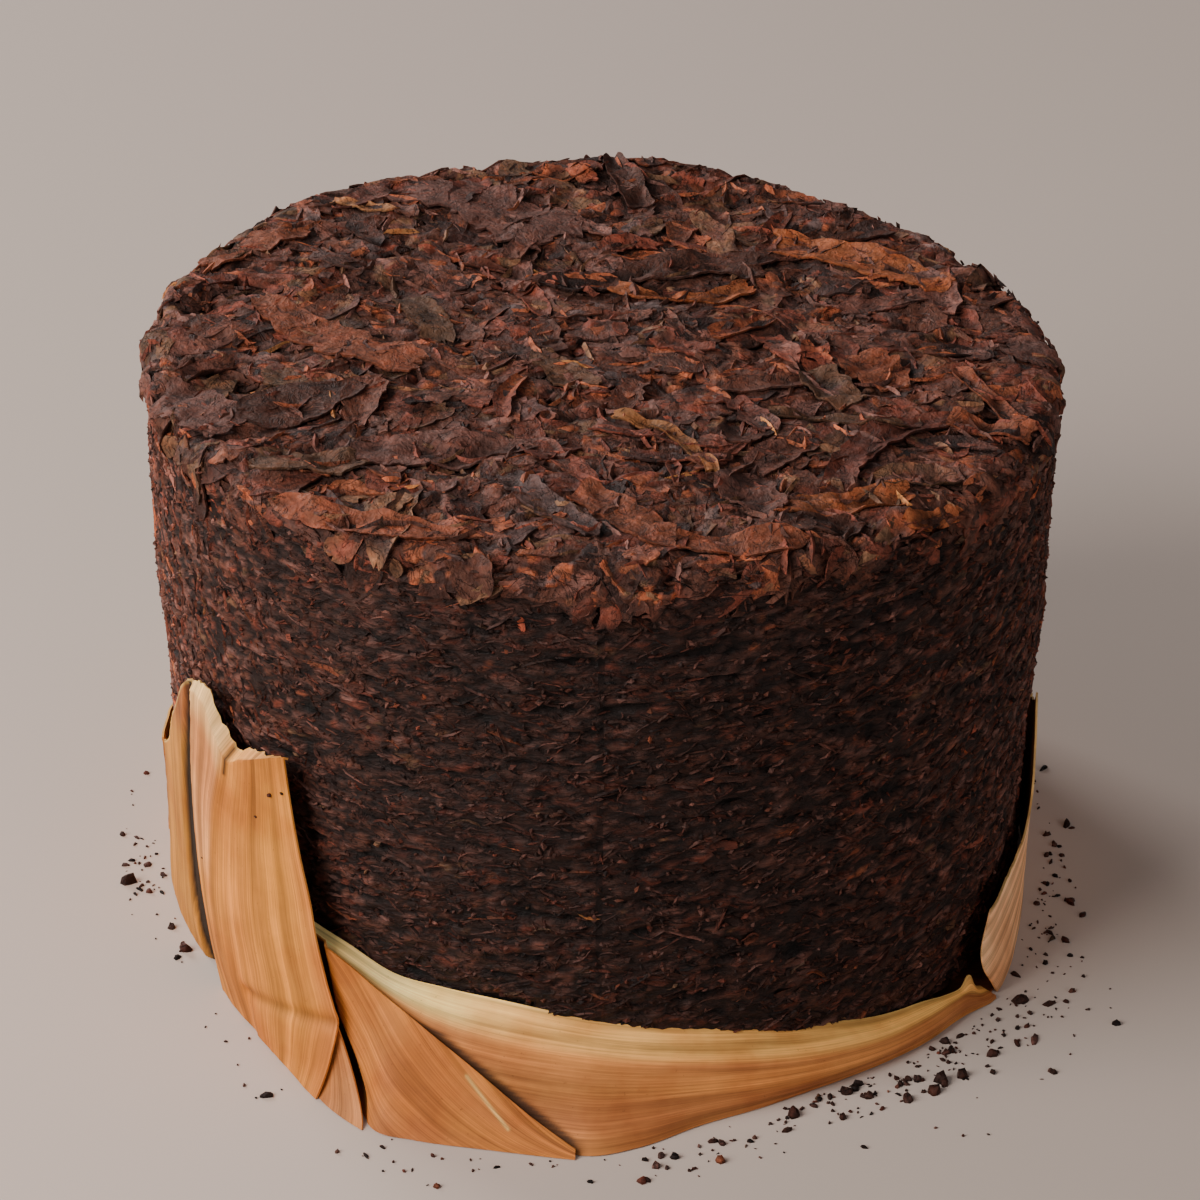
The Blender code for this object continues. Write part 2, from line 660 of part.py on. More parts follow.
def husk_flap(finish):
    """Upright flap with a lengthwise fold and a short lip turned in at its top."""
    share = spread(0, 1, FLAP_COLUMNS)
    fold, lip, lip_r = (curve(column_of(FLAP_TOP, index), share) for index in (1, 2, 3))
    rows = []
    for step in range(FLAP_WALL_ROWS + 1):
        height = HUSK_FOOT / MM + (fold - HUSK_FOOT / MM) * step / FLAP_WALL_ROWS
        angle, radius = flap_wall(share, height)
        rows.append(ring_points(angle, radius, height))
    for step in range(1, FLAP_LIP_ROWS + 1):
        part = step / FLAP_LIP_ROWS
        rows.append(ring_points(angle, radius + (lip_r - radius) * part, fold + (lip - fold) * part))
    return sheet("husk_flap", np.stack(rows, 1), finish)


def husk_tuck(finish):
    """Small tucked corner between the flap and the triangle."""
    share, up = np.meshgrid(spread(0, 1, TUCK_CELLS), spread(0, 1, TUCK_CELLS), indexing="ij")
    start = TUCK_START[0] + (TUCK_START[1] - TUCK_START[0]) * up
    end = TUCK_END[0] + (TUCK_END[1] - TUCK_END[0]) * up
    angle = start + (end - start) * share
    foot_r = curve(TUCK_FOOT, angle)
    height = HUSK_FOOT / MM + (TUCK_TOP - HUSK_FOOT / MM) * up
    return sheet("husk_tuck",
                 ring_points(angle, foot_r + (TUCK_HEAD_RADIUS - foot_r) * up ** TUCK_HOLLOW, height),
                 finish)


def husk_strip(finish):
    """Narrow strip that runs from behind the flap to the left side."""
    angle, up = np.meshgrid(spread(STRIP_STATIONS[0][0], STRIP_STATIONS[-1][0], STRIP_COLUMNS),
                            spread(0, 1, STRIP_ROWS), indexing="ij")
    top, wall = (curve(column_of(STRIP_STATIONS, index), angle) for index in (1, 2))
    height = HUSK_FOOT / MM + (top - HUSK_FOOT / MM) * up
    radius = STRIP_FOOT_RADIUS + (wall - STRIP_FOOT_RADIUS) * ease(height / STRIP_FOOT_HEIGHT)
    return sheet("husk_strip", ring_points(angle, radius, height), finish)


def husk_wall(name, stations, columns, finish, foot_height, edge=None):
    """Sheet standing round the foot of the column, with an uneven top and a slight flare."""
    share, up = np.meshgrid(spread(0, 1, columns), spread(0, 1, WALL_ROWS), indexing="ij")
    start = stations[0][0]
    angle = start + (stations[-1][0] - start) * share
    top, wall, foot_r = (curve(column_of(stations, index), angle) for index in (1, 2, 3))
    height = HUSK_FOOT / MM + (top - HUSK_FOOT / MM) * up
    radius = foot_r + (wall - foot_r) * ease(height / foot_height) + WALL_FLARE * up ** 4
    if edge:
        angle = angle + (curve(edge, height) - start) * np.exp((start - angle) / CORNER_FADE)
    return sheet(name, ring_points(angle, radius, height), finish)


def main():
    clear_scene()
    tea = material("pressed_tea", TEA_COLOUR, TEA_ROUGHNESS)
    husk = material("bamboo_husk", HUSK_COLOUR, HUSK_ROUGHNESS)
    shaded = material("bamboo_husk_shaded", HUSK_SHADE_COLOUR, HUSK_ROUGHNESS)
    tea_column(tea)
    husk_base(shaded)
    husk_band(husk)
    husk_triangle(shaded)
    husk_flap(husk)
    husk_tuck(shaded)
    husk_strip(husk)
    husk_wall("husk_right", RIGHT_STATIONS, RIGHT_COLUMNS, husk, RIGHT_FOOT_HEIGHT, CORNER_EDGE)
    husk_wall("husk_left", LEFT_STATIONS, LEFT_COLUMNS, husk, LEFT_FOOT_HEIGHT)


main()
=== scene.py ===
"""Looks of a pressed column of dark fermented tea that stands in its torn bamboo-husk wrapper.

The row frame is in metres, +Z up, with the column's axis on Z and the front towards -Y. Shapes are
worked out in millimetres and scaled by MM as their meshes are made. Angles round the column are in
degrees from the front, growing towards +X. Headings of leaves are in degrees from +X.
"""
import math

import bpy
import numpy as np
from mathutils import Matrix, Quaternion, Vector


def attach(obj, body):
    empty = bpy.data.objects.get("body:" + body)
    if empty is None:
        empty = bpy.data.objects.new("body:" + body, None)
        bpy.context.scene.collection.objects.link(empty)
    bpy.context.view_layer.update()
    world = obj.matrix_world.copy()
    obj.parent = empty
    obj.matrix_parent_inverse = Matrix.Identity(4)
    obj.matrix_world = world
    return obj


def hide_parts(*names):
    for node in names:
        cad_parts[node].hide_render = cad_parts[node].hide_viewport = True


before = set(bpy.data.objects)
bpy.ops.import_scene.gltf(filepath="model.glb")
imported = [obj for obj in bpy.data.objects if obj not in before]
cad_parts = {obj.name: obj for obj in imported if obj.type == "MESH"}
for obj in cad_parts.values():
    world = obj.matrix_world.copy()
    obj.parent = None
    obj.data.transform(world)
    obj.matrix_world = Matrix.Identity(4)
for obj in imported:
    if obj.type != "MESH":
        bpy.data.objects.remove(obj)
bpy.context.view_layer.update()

MM = 0.001

# Camera: lens and sensor in mm, then metres and degrees
LENS = 111.0
SENSOR = 36.0
CAMERA_TARGET = (-0.0011, 0.0, 0.0652)
CAMERA_DISTANCE = 0.8428
CAMERA_PITCH = 30.38
CAMERA_ROLL = 0.521

# Area lights: name, place, where it points, size, power and colour
LIGHTS = (
    ("key", (-0.8, -0.44, 0.64), (0, 0, 0.06), 0.72, 18.5, (1.0, 0.97, 0.93)),
    ("fill", (1.0, -1.0, 0.42), (0, 0, 0.06), 1.0, 5.4, (1.0, 0.98, 0.96)),
    ("backdrop", (-1.6, 1.9, 1.1), (-0.6, 1.3, 0), 1.0, 60, (1.0, 0.99, 0.98)),
)

# Column
RADIUS = 100.0
TOP = 130.0
TOP_SLOPE = -0.0127
SHOULDER = 6.0
FOOT = 1.2
FOOT_ROUNDING = 3.0
FLAT = RADIUS - SHOULDER
QUARTER = SHOULDER * math.pi / 2
ROUND = 2 * math.pi * RADIUS
SIDE_INSET = 1.5
TOP_INSET = 0.9

# The right side draws in towards the foot
HOLLOW_DEPTH = 1.9
HOLLOW_ANGLE = 86.0
HOLLOW_WIDTH = 20.0
HOLLOW_FULL = 45.0
HOLLOW_NONE = 72.0

# The left side swells out above the husk
SWELL_DEPTH = 2.2
SWELL_ANGLE = -104.0
SWELL_WIDTH = 46.0
SWELL_NONE = 50.0
SWELL_FULL = 80.0

# The top stands up towards its back-left rim, and the upper part of the side with it
RISE = 3.0
RISE_WAY = math.radians(127)
RISE_START = 30.0
RISE_FULL = 80.0
RISE_FOOT = 60.0


def linear(red, green, blue):
    """Linear colour of a screen colour given as levels from 0 to 255."""
    level = np.array([red, green, blue]) / 255
    return np.where(level <= 0.04045, level / 12.92, ((level + 0.055) / 1.055) ** 2.4)


TEA = {
    "ink": linear(42, 22, 17),
    "umber": linear(74, 41, 30),
    "maroon": linear(95, 46, 33),
    "mauve": linear(98, 62, 53),
    "rust": linear(130, 68, 43),
    "orange": linear(158, 84, 46),
    "gold": linear(152, 96, 54),
    "straw": linear(180, 120, 78),
    "olive": linear(98, 66, 46),
    "slate": linear(88, 66, 62),
}

# Shares of each colour among scattered leaves and strands
TOP_MIX = {"ink": 13, "umber": 40, "maroon": 17, "mauve": 12, "rust": 8, "olive": 7, "slate": 3}
STRAY_MIX = {"umber": 38, "maroon": 24, "mauve": 14, "rust": 14, "olive": 8, "gold": 2}
SIDE_MIX = {"ink": 22, "umber": 40, "maroon": 12, "mauve": 24, "rust": 1, "olive": 1}
BRIGHT_MIX = {"maroon": 36, "rust": 20, "mauve": 38, "gold": 2, "straw": 1, "olive": 3}
LONG_MIX = {"rust": 40, "maroon": 40, "mauve": 20}
TOP_GAIN = 1.09
HERO_GAIN = 0.9
HERO_SHARE = 0.74
# The side's colours are darker than the top's: partly its own tone, partly painted shade among its strands
SIDE_GAIN = 0.72
GRAIN_GAIN = SIDE_GAIN * 1.1
CRUMB_GAIN = 0.6

# Painted light and shade of the side by angle: lighter at the left and the right than in front
SIDE_PAINTED_LIGHT = ((-180, 1.2), (-120, 1.2), (-90, 1.95), (-60, 1.62), (-38, 1.0), (-15, 0.64), (15, 0.68),
              (40, 1.02), (60, 1.35), (80, 1.55), (120, 1.2), (180, 1.2))

# Relief of the pressed tea: lumps, and small pits between the strands of the side
TOP_LUMPS = 1.2
CREVICE_DEPTH = 2.4
CREVICE_WIDTH = 0.11
SIDE_LUMPS = 0.6
PIT_DEPTH = 1.0

# How much painted shade a place gets for each millimetre that it lies below its surroundings
TOP_SHADE = 1.0
SIDE_SHADE = 0.7
# Passes that even out the surroundings, and the least and the most light that a place keeps
SHADE_REACH = 6
SHADE_RANGE = (0.22, 1.2)

# How often the bed under a leaf is evened out, and how deep a strand sinks into the bed
SETTLE_PASSES = 2
STRAND_SINK = 0.25

# Steep strands on the left of the side: middle and half widths of the stretch, share and heading
STEEP_MIDDLE = -88.0
STEEP_FULL = 28.0
STEEP_NONE = 54.0
STEEP_SHARE = 0.75
STEEP_HEADING = -62.0
STEEP_SPREAD = 22

# Leaves that lie whole on the top: x, y, heading, length, width, bend, colour, edge curl
HERO_LEAVES = (
    (-60, 2, -38, 47, 12, 45, "rust", 0.5),
    (-86, -32, -40, 24, 14, 0, "mauve", 0.2),
    (-64, -29, 30, 27, 14, 10, "umber", 0.4),
    (-60, -54, 3, 25, 11, 18, "olive", 0.2),
    (-40, 13, -65, 22, 9, -20, "olive", 0.2),
    (-10, -12, -59, 21, 8, 12, "olive", 0.3),
    (-56, 63, -17, 16, 4, 0, "straw", 0.2),
    (-80, 41, 41, 28, 9, -12, "rust", 0.6),
    (-50, -79, -21, 41, 8, 22, "rust", 0.6),
    (-33, -48, 5, 36, 11, -8, "mauve", 0.3),
    (-12, -72, -54, 31, 7, 14, "slate", 0.5),
    (4, -76, -49, 28, 9, -10, "rust", 0.5),
    (-4, 32, 9, 22, 8, 12, "ink", 0.6),
    (-28, 64, -36, 45, 19, -14, "mauve", 0.3),
    (4, 85, -74, 25, 7, 10, "umber", 1.0),
    (58, 46, -35, 45, 12, -45, "orange", 0.6),
    (20, 40, 11, 30, 11, -10, "umber", 0.8),
    (17, 27, 2, 34, 6, 70, "orange", 0.6),
    (59, -10, -48, 17, 14, 0, "rust", 0.2),
    (48, -17, -55, 18, 10, 0, "olive", 0.4),
    (14, -44, -54, 36, 3, -60, "gold", 0.4),
    (57, -45, 50, 46, 8, -70, "maroon", 0.7),
    (48, -68, 18, 30, 9, 8, "orange", 0.4),
    (82, -22, -66, 32, 5, 10, "rust", 0.5),
    (93, 0, -63, 15, 10, 0, "mauve", 0.4),
    (42, -79, 12, 20, 9, 0, "umber", 0.2),
    (27, -86, 0, 26, 8, 14, "rust", 0.5),
    (30, -66, -62, 20, 12, 0, "mauve", 0.6),
    (67, -72, 25, 14, 6, 10, "orange", 0.4),
    (81, -35, -20, 18, 6, 20, "rust", 0.5),
    (49, -32, -8, 30, 6, -20, "olive", 0.4),
)

# Crumbs on the floor: angle, spread, least distance from the axis, reach beyond it, count
CRUMB_HEAPS = (
    (-97, 4, 112.0, 4.0, 5), (-82, 5, 105.0, 8.0, 26), (-77, 4, 103.5, 5.0, 12), (-65, 3, 104.5, 4.0, 8),
    (-48, 4, 110.0, 5.0, 4), (-37, 4, 118.5, 6.0, 5), (-20, 4, 123.0, 11.0, 12), (-10, 5, 122.0, 6.0, 8),
    (4, 5, 121.0, 6.0, 12), (12, 4, 116.5, 8.0, 24), (22, 4, 109.5, 9.0, 34), (32, 4, 108.0, 12.0, 50),
    (40, 4, 108.5, 12.0, 44), (48, 4, 109.5, 15.0, 34), (56, 4, 109.5, 15.0, 26), (64, 4, 106.5, 12.0, 18),
    (72, 3, 103.5, 11.0, 24), (79, 3, 103.5, 10.0, 20), (90, 4, 104.5, 8.0, 16), (105, 4, 107.0, 6.0, 8),
    (50, 9, 116.0, 24.0, 26),
)
CRUMB_SIDES = 7
CRUMB_LONGEST = 4.2
CRUMB_EDGE = 113.5

# Crumbs stuck to the flap: share of its width, height and size
FLAP_CRUMBS = ((0.81, 62.4, 1.5), (0.67, 55.3, 1.1), (0.17, 34.2, 0.9), (0.93, 64.2, 1.3))
CRUMB_LIFT = 0.05

# Husk colours
HUSK = {
    "tan": linear(200, 130, 46),
    "warm": linear(194, 116, 46),
    "brown": linear(170, 98, 46),
    "dark": linear(96, 50, 24),
    "cream": linear(255, 216, 128),
    "white_and_highlight": linear(255, 226, 150),
    "tip": linear(255, 206, 136),
    "pale": linear(246, 174, 92),
    "sand": linear(192, 122, 60),
    "clay": linear(168, 101, 55),
    "pink_and_shade": linear(212, 140, 80),
    "blush": linear(255, 198, 148),
    "rose": linear(242, 170, 116),
}

# Sheets: full thickness, the share of it that they have here, height of the foot, torn rows
HUSK_THICKNESS = 0.8
SKIN_SHARE = 0.6
HUSK_FOOT = 0.2
FRAY_ROWS = 3

BASE_STEPS = 160
BASE_RINGS = 5

# Base sheet under the column: angle, radius
BASE_OUTLINE = (
    (-180, 99.4), (-70, 99.4), (-50, 100.6), (-40, 101.2), (-33, 104.6), (-26, 111),
    (-20, 114.4), (-12, 114.6), (-1, 115.2), (4, 112), (11, 105.6), (18, 103.4),
    (25, 102.2), (40, 102.4), (47, 104.0), (52, 105.6), (56, 105.4), (62, 102.6), (72, 98.9),
    (82, 97.6), (92, 97.8), (110, 99), (180, 99.4),
)

# Front band: angle, lip height, crease radius and height, belly radius and height, foot radius
BAND_STATIONS = (
    (-39, 31.0, 103.9, 29.8, 104.0, 12.0, 104.0),
    (-33, 28.9, 104.0, 27.7, 106.0, 12.0, 108.0),
    (-26, 25.0, 105.0, 24.0, 109.2, 12.0, 114.5),
    (-20, 24.6, 106.0, 20.8, 111.2, 10.0, 118.0),
    (-12, 23.6, 106.5, 18.6, 111.6, 9.0, 117.7),
    (-5, 21.5, 106.5, 17.3, 112.0, 8.0, 117.9),
    (-1, 20.1, 106.5, 16.5, 112.6, 7.8, 118.9),
    (4, 18.8, 106.5, 15.2, 111.0, 7.0, 116.2),
    (11, 16.9, 106.5, 13.5, 108.8, 6.0, 110.4),
    (18, 14.8, 106.3, 11.3, 107.8, 5.0, 107.8),
    (24, 12.4, 106.0, 9.2, 107.4, 4.2, 106.3),
    (30, 10.4, 105.9, 7.5, 107.1, 3.6, 105.8),
    (37, 7.6, 105.7, 6.0, 106.8, 3.0, 105.8),
    (43, 6.2, 105.3, 5.4, 106.4, 2.6, 105.9),
    (48, 5.2, 105.0, 5.2, 106.0, 2.4, 105.6),
    (50.2, 5.6, 104.9, 4.6, 106.0, 2.0, 106.1),
    (51.8, 7.6, 104.9, 2.8, 106.6, 1.5, 106.8),
    (53.2, 3.4, 105.4, 1.6, 107.1, 1.1, 107.5),
    (54.6, 1.7, 105.9, 1.3, 107.3, 1.0, 107.7),
)
BAND_LIP_RADIUS = ((-39, 99.7), (40, 99.7), (46, 100.8), (50, 103.0), (55, 103.5))
# Rows of cells from the band's foot to its belly, its crease and its lip's edge; the lip's first row
BAND_CELLS = (14, 12, 8)
LIP_ROW = sum(BAND_CELLS[:2])
BAND_GAIN = 1.1
# Painted shadow of the triangle on the band, along its upper edge: its width
TRIANGLE_SHADOW_WIDTH = 1.3

# Triangle folded over the band: angle, upper edge height and radius, foot radius
TRIANGLE_STATIONS = (
    (-37, 33.0, 105.9, 109.4),
    (-34, 30.9, 105.8, 110.4),
    (-30, 28.4, 106.0, 112.6),
    (-27, 25.9, 106.5, 115.2),
    (-23, 22.6, 107.4, 121.0),
    (-19, 18.9, 108.6, 120.8),
    (-13, 13.0, 111.3, 119.7),
    (-7.4, 6.9, 115.1, 119.6),
    (-2.5, 2.0, 118.9, 120.3),
)
TRIANGLE_FOOT_START = -32.0

# Upright flap: height, then angle and radius of its shaded edge, its fold and its front edge
FLAP_ROWS = (
    (0, -55.6, 103.6, -48.6, 106.2, -31.2, 117.0),
    (5, -56.0, 104.0, -49.2, 107.0, -30.6, 115.2),
    (10, -56.6, 104.3, -50.2, 107.4, -30.2, 113.6),
    (19, -57.7, 104.6, -51.6, 107.4, -30.4, 111.5),
    (25, -58.3, 104.8, -52.4, 107.1, -32.3, 109.3),
    (33, -59.3, 104.7, -52.6, 106.8, -34.4, 107.2),
    (40, -59.9, 104.6, -52.5, 106.5, -35.7, 105.8),
    (50, -60.4, 104.4, -51.9, 106.2, -37.6, 104.6),
    (63, -60.2, 104.1, -50.3, 105.6, -39.1, 104.1),
    (78, -59.0, 103.9, -49.8, 105.2, -40.4, 103.7),
)
FLAP_FOLD_AT = 0.30
FLAP_NOTCH = 0.335
FLAP_TIP_END = 0.34
FLAP_BEND_FROM = 0.42
FLAP_WALL_ROWS = 92
FLAP_LIP_ROWS = 5
# Gap that the flap's near edge sinks into, painted dark as its shade: height and share of the width
FLAP_GAP = ((0, 0.075), (30, 0.075), (48, 0.06), (60, 0.045), (70, 0.035), (76, 0.02))
FLAP_GAP_DEPTH = 1.7
FLAP_FOOT_SAG = 1.8
FLAP_SAG_HEIGHT = 12.0
FLAP_BEND_START = 11.0
FLAP_BEND_CLIMB = 13.0
# Across the flap: share of its width, height of the top fold, height and radius of its lip
FLAP_TOP = (
    (0.00, 73.4, 74.6, 103.2),
    (0.09, 74.2, 77.0, 103.0),
    (0.16, 73.2, 76.4, 102.8),
    (0.20, 70.9, 73.2, 102.7),
    (0.27, 67.2, 69.4, 102.5),
    (0.32, 65.4, 67.6, 102.4),
    (0.50, 67.2, 68.9, 102.4),
    (0.75, 70.4, 70.6, 102.4),
    (1.00, 73.2, 72.3, 102.4),
)

# Pale scratch on the triangle: angle and height of its ends, half its width, and mm for each degree
SCRATCH = ((-14.6, 12.6), (-9.5, 4.2))
SCRATCH_WIDTH = 0.3
SCRATCH_SCALE = math.radians(1) * 119.7

# Tucked corner between flap and triangle
TUCK_TOP = 18.6
TUCK_START = (-33.4, -33.2)
TUCK_END = (-24.4, -31.6)
TUCK_FOOT = ((-33.4, 114.0), (-31, 116.8), (-29, 118.7), (-27.3, 120.0), (-24.4, 121.9))
TUCK_HOLLOW = 0.7
TUCK_HEAD_RADIUS = 109.9

# Narrow strip behind the flap: angle, top height, wall radius
STRIP_STATIONS = (
    (-100, 24.0, 101.4),
    (-93, 24.5, 101.4),
    (-88, 28.5, 101.4),
    (-84, 33.0, 101.4),
    (-80, 37.5, 101.4),
    (-76, 42.0, 101.5),
    (-73, 46.5, 101.5),
    (-70.3, 54.0, 101.7),
    (-66.5, 62.0, 102.1),
    (-63.4, 69.5, 102.5),
    (-60.5, 73.5, 102.8),
    (-57, 66.0, 102.8),
    (-54.5, 60.0, 102.7),
)
STRIP_FOOT_RADIUS = 101.7
# The strip turns in under the flap's edge: height and degrees from the edge, then slope and depth
STRIP_GROOVE = ((0, 5.2), (5, 6.2), (13, 7.0), (27, 7.1), (35, 6.3), (46, 5.1), (60, 3.5), (70, 2.5))
STRIP_GROOVE_SLOPE = 0.7
STRIP_GROOVE_DEPTH = 1.1

# Deep gap in the triangle beside the flap and the tuck: height and angle, then width and depth
TRIANGLE_GAP = ((0, -24.8), (2, -25.2), (4.5, -26.0), (7, -27.3), (10, -28.6), (13, -30.0),
                (16.5, -31.4), (20, -32.4), (24, -33.1), (28.2, -33.9), (32, -34.7))
TRIANGLE_GAP_WIDTH = 0.6
TRIANGLE_GAP_DEPTH = 1.3

# Sheet from the stand-off corner round the right side to the back: angle, top, wall, foot
RIGHT_STATIONS = (
    (53, 21.0, 103.0, 106.7),
    (55, 21.5, 102.9, 106.3),
    (58, 22.8, 102.4, 105.4),
    (61, 24.2, 102.0, 104.4),
    (65, 25.8, 101.6, 102.9),
    (70, 28.5, 101.1, 101.4),
    (74, 34.0, 100.5, 100.5),
    (77, 40.5, 99.8, 99.9),
    (82, 48.5, 98.9, 99.2),
    (87, 43.0, 99.1, 99.4),
    (92, 37.5, 99.6, 99.7),
    (99, 33.5, 101.0, 100.8),
    (108, 34.5, 101.3, 101.1),
    (121, 39.0, 102.5, 101.8),
    (133, 40.0, 101.9, 101.6),
    (148, 36.0, 102.5, 101.9),
    (164, 37.5, 101.8, 101.5),
    (190, 35.5, 101.7, 101.4),
)

# Sheet that laps over it at the back and runs to the left side
LEFT_STATIONS = (
    (177, 34.0, 103.1, 102.8),
    (188, 37.0, 103.1, 102.7),
    (198, 35.0, 102.3, 101.9),
    (212, 38.5, 102.7, 102.1),
    (226, 35.0, 101.9, 101.6),
    (243, 32.0, 102.3, 101.9),
    (256, 29.0, 102.6, 102.7),
    (269, 26.0, 102.7, 102.9),
)

# Free edge of the stand-off corner: height, angle, and how fast the shift fades round the sheet
CORNER_EDGE = ((0, 55.8), (4, 54.6), (8, 53.4), (13, 53.3), (17, 54.6), (22, 56.2))
CORNER_FADE = 9.0
# Heights over which the side sheets go from their foot's radius to their wall's
WALL_FOOT_HEIGHT = 9.0
RIGHT_FOOT_HEIGHT = 24.0
# Angle from which the side sheets turn tan, and over which they do
WALL_TAN_FROM = 95.0
WALL_TAN_FADE = 70.0
WALL_FLARE = 0.5


def curve(knots, at):
    """Smooth curve through (position, value) knots, held level beyond its ends."""
    knots = np.asarray(knots, float)
    place, value = knots[:, 0], knots[:, 1]
    slope = np.gradient(value, place)
    at = np.clip(at, place[0], place[-1])
    i = np.clip(np.searchsorted(place, at, side="right") - 1, 0, len(place) - 2)
    step = place[i + 1] - place[i]
    t = (at - place[i]) / step
    start = value[i] * (1 + 2 * t) * (1 - t) ** 2 + slope[i] * step * t * (1 - t) ** 2
    end = value[i + 1] * t * t * (3 - 2 * t) + slope[i + 1] * step * t * t * (t - 1)
    return start + end


def curves(table, at):
    """Smooth curve through each further column of a table, over its first column."""
    return [curve([(row[0], row[index]) for row in table], at) for index in range(1, len(table[0]))]


def ease(t):
    t = np.clip(t, 0.0, 1.0)
    return t * t * (3 - 2 * t)


def lattice(i, j, seed):
    """Repeatable random value between 0 and 1 for each whole-number place."""
    n = (i * 374761393 + j * 668265263 + seed * 974634777) & 0xFFFFFFFF
    n = ((n ^ (n >> 13)) * 1274126177) & 0xFFFFFFFF
    return (n ^ (n >> 16)) / 0xFFFFFFFF


def noise(x, y, seed):
    """Smooth random field between -1 and 1 with features one unit across."""
    i, j = np.floor(x).astype(np.int64), np.floor(y).astype(np.int64)
    fx, fy = ease(x - i), ease(y - j)
    low = lattice(i, j, seed) * (1 - fx) + lattice(i + 1, j, seed) * fx
    high = lattice(i, j + 1, seed) * (1 - fx) + lattice(i + 1, j + 1, seed) * fx
    return 2 * (low * (1 - fy) + high * fy) - 1


def rough(x, y, seed):
    """Three octaves of noise."""
    return (noise(x, y, seed) + noise(2 * x, 2 * y, seed + 1) / 2
            + noise(4 * x, 4 * y, seed + 2) / 4) / 1.75


def ring_points(angle, radius, height):
    """Points from angles in degrees, and radii and heights in millimetres."""
    turn = np.radians(angle)
    return np.stack([radius * np.sin(turn), -radius * np.cos(turn), height + 0 * turn], -1)


def rise(x, y):
    """How much the top stands up at a place."""
    outward = x * math.cos(RISE_WAY) + y * math.sin(RISE_WAY)
    return RISE * ease((outward - RISE_START) / (RISE_FULL - RISE_START))


def peak(value, middle, width):
    """Share that is 1 at the middle value and falls off smoothly on both sides."""
    return np.exp(-((value - middle) / width) ** 2)


def bell(angle, middle, width):
    """Peak round the column, over angles in degrees."""
    return peak((angle - middle + 180) % 360 - 180, 0, width)


def drape(u, v, lift):
    """Place over the unrolled top: level inside, then over the shoulder and down the side."""
    reach = np.maximum(np.hypot(u, v), 1e-6)
    over = np.clip((reach - FLAT) / SHOULDER, 0, math.pi / 2)
    down = np.maximum(reach - FLAT - QUARTER, 0)
    swell = SWELL_DEPTH * bell(np.degrees(np.arctan2(u, -v)), SWELL_ANGLE, SWELL_WIDTH)
    inner = np.minimum(reach, FLAT)
    radius = inner + swell * (inner / FLAT) ** 3 + (SHOULDER + lift) * np.sin(over)
    x, y = u / reach * radius, v / reach * radius
    height = TOP - SHOULDER * (1 - np.cos(over)) - down + lift * np.cos(over)
    return np.stack([x, y, height + TOP_SLOPE * x + rise(x, y)], -1)


def side_radius(angle, height):
    """Bare radius of the side at an angle in degrees from the front and a height."""
    hollow = HOLLOW_DEPTH * ease((HOLLOW_NONE - height) / (HOLLOW_NONE - HOLLOW_FULL))
    swell = SWELL_DEPTH * ease((height - SWELL_NONE) / (SWELL_FULL - SWELL_NONE))
    return (RADIUS - hollow * bell(angle, HOLLOW_ANGLE, HOLLOW_WIDTH)
            + swell * bell(angle, SWELL_ANGLE, SWELL_WIDTH))


def wall(arc, height, lift):
    """Place on the side from an arc length round it, a height and a lift off the bare side."""
    angle = np.degrees(arc / RADIUS)
    height = np.maximum(height, FOOT)
    foot = np.clip((FOOT + FOOT_ROUNDING - height) / FOOT_ROUNDING, 0, 1)
    radius = side_radius(angle, height) + lift - FOOT_ROUNDING * (1 - np.sqrt(1 - foot * foot))
    place = ring_points(angle, radius, height)
    place[..., 2] += rise(place[..., 0], place[..., 1]) * ease((height - RISE_FOOT) / (TOP - RISE_FOOT))
    return place


class Bed:
    """Height and colour of what has been laid so far, on a grid of square cells."""

    def __init__(self, low, high, cell, wraps=False):
        self.low, self.cell, self.wraps = low, cell, wraps
        self.shape = tuple(int(round((b - a) / cell)) for a, b in zip(low, high))
        self.height = np.zeros(self.shape)
        self.tint = np.zeros((*self.shape, 3))
        self.laid = []

    def cells(self, x, y):
        i = np.floor((x - self.low[0]) / self.cell).astype(int)
        j = np.floor((y - self.low[1]) / self.cell).astype(int)
        i = i % self.shape[0] if self.wraps else np.clip(i, 0, self.shape[0] - 1)
        return i, np.clip(j, 0, self.shape[1] - 1)

    def middles(self):
        """Places of the cells' middles."""
        i, j = np.meshgrid(*(np.arange(count) + 0.5 for count in self.shape), indexing="ij")
        return self.low[0] + i * self.cell, self.low[1] + j * self.cell

    def coarser(self, cell):
        """Copy of the bed with larger cells."""
        high = [low + count * self.cell for low, count in zip(self.low, self.shape)]
        copy = Bed(self.low, high, cell, self.wraps)
        copy.height = self.height[self.cells(*copy.middles())]
        copy.laid = self.laid
        return copy

    def shade_hollows(self, strength):
        """Paints shade into the colour of points deep among their surroundings, and light where they stand
        out.
        """
        around = self.height
        for _ in range(SHADE_REACH):
            around = soften(around)
        for mesh, x, y, lift in self.laid:
            depth = around[self.cells(x.ravel(), y.ravel())] - lift.ravel()
            light = np.clip(np.exp(-strength * depth), *SHADE_RANGE)
            tint = np.empty(len(mesh.vertices) * 4, np.float32)
            mesh.attributes["tint"].data.foreach_get("color", tint)
            tint = tint.reshape(-1, 4)
            tint[:, :3] *= light[:, None]
            mesh.attributes["tint"].data.foreach_set("color", tint.ravel())


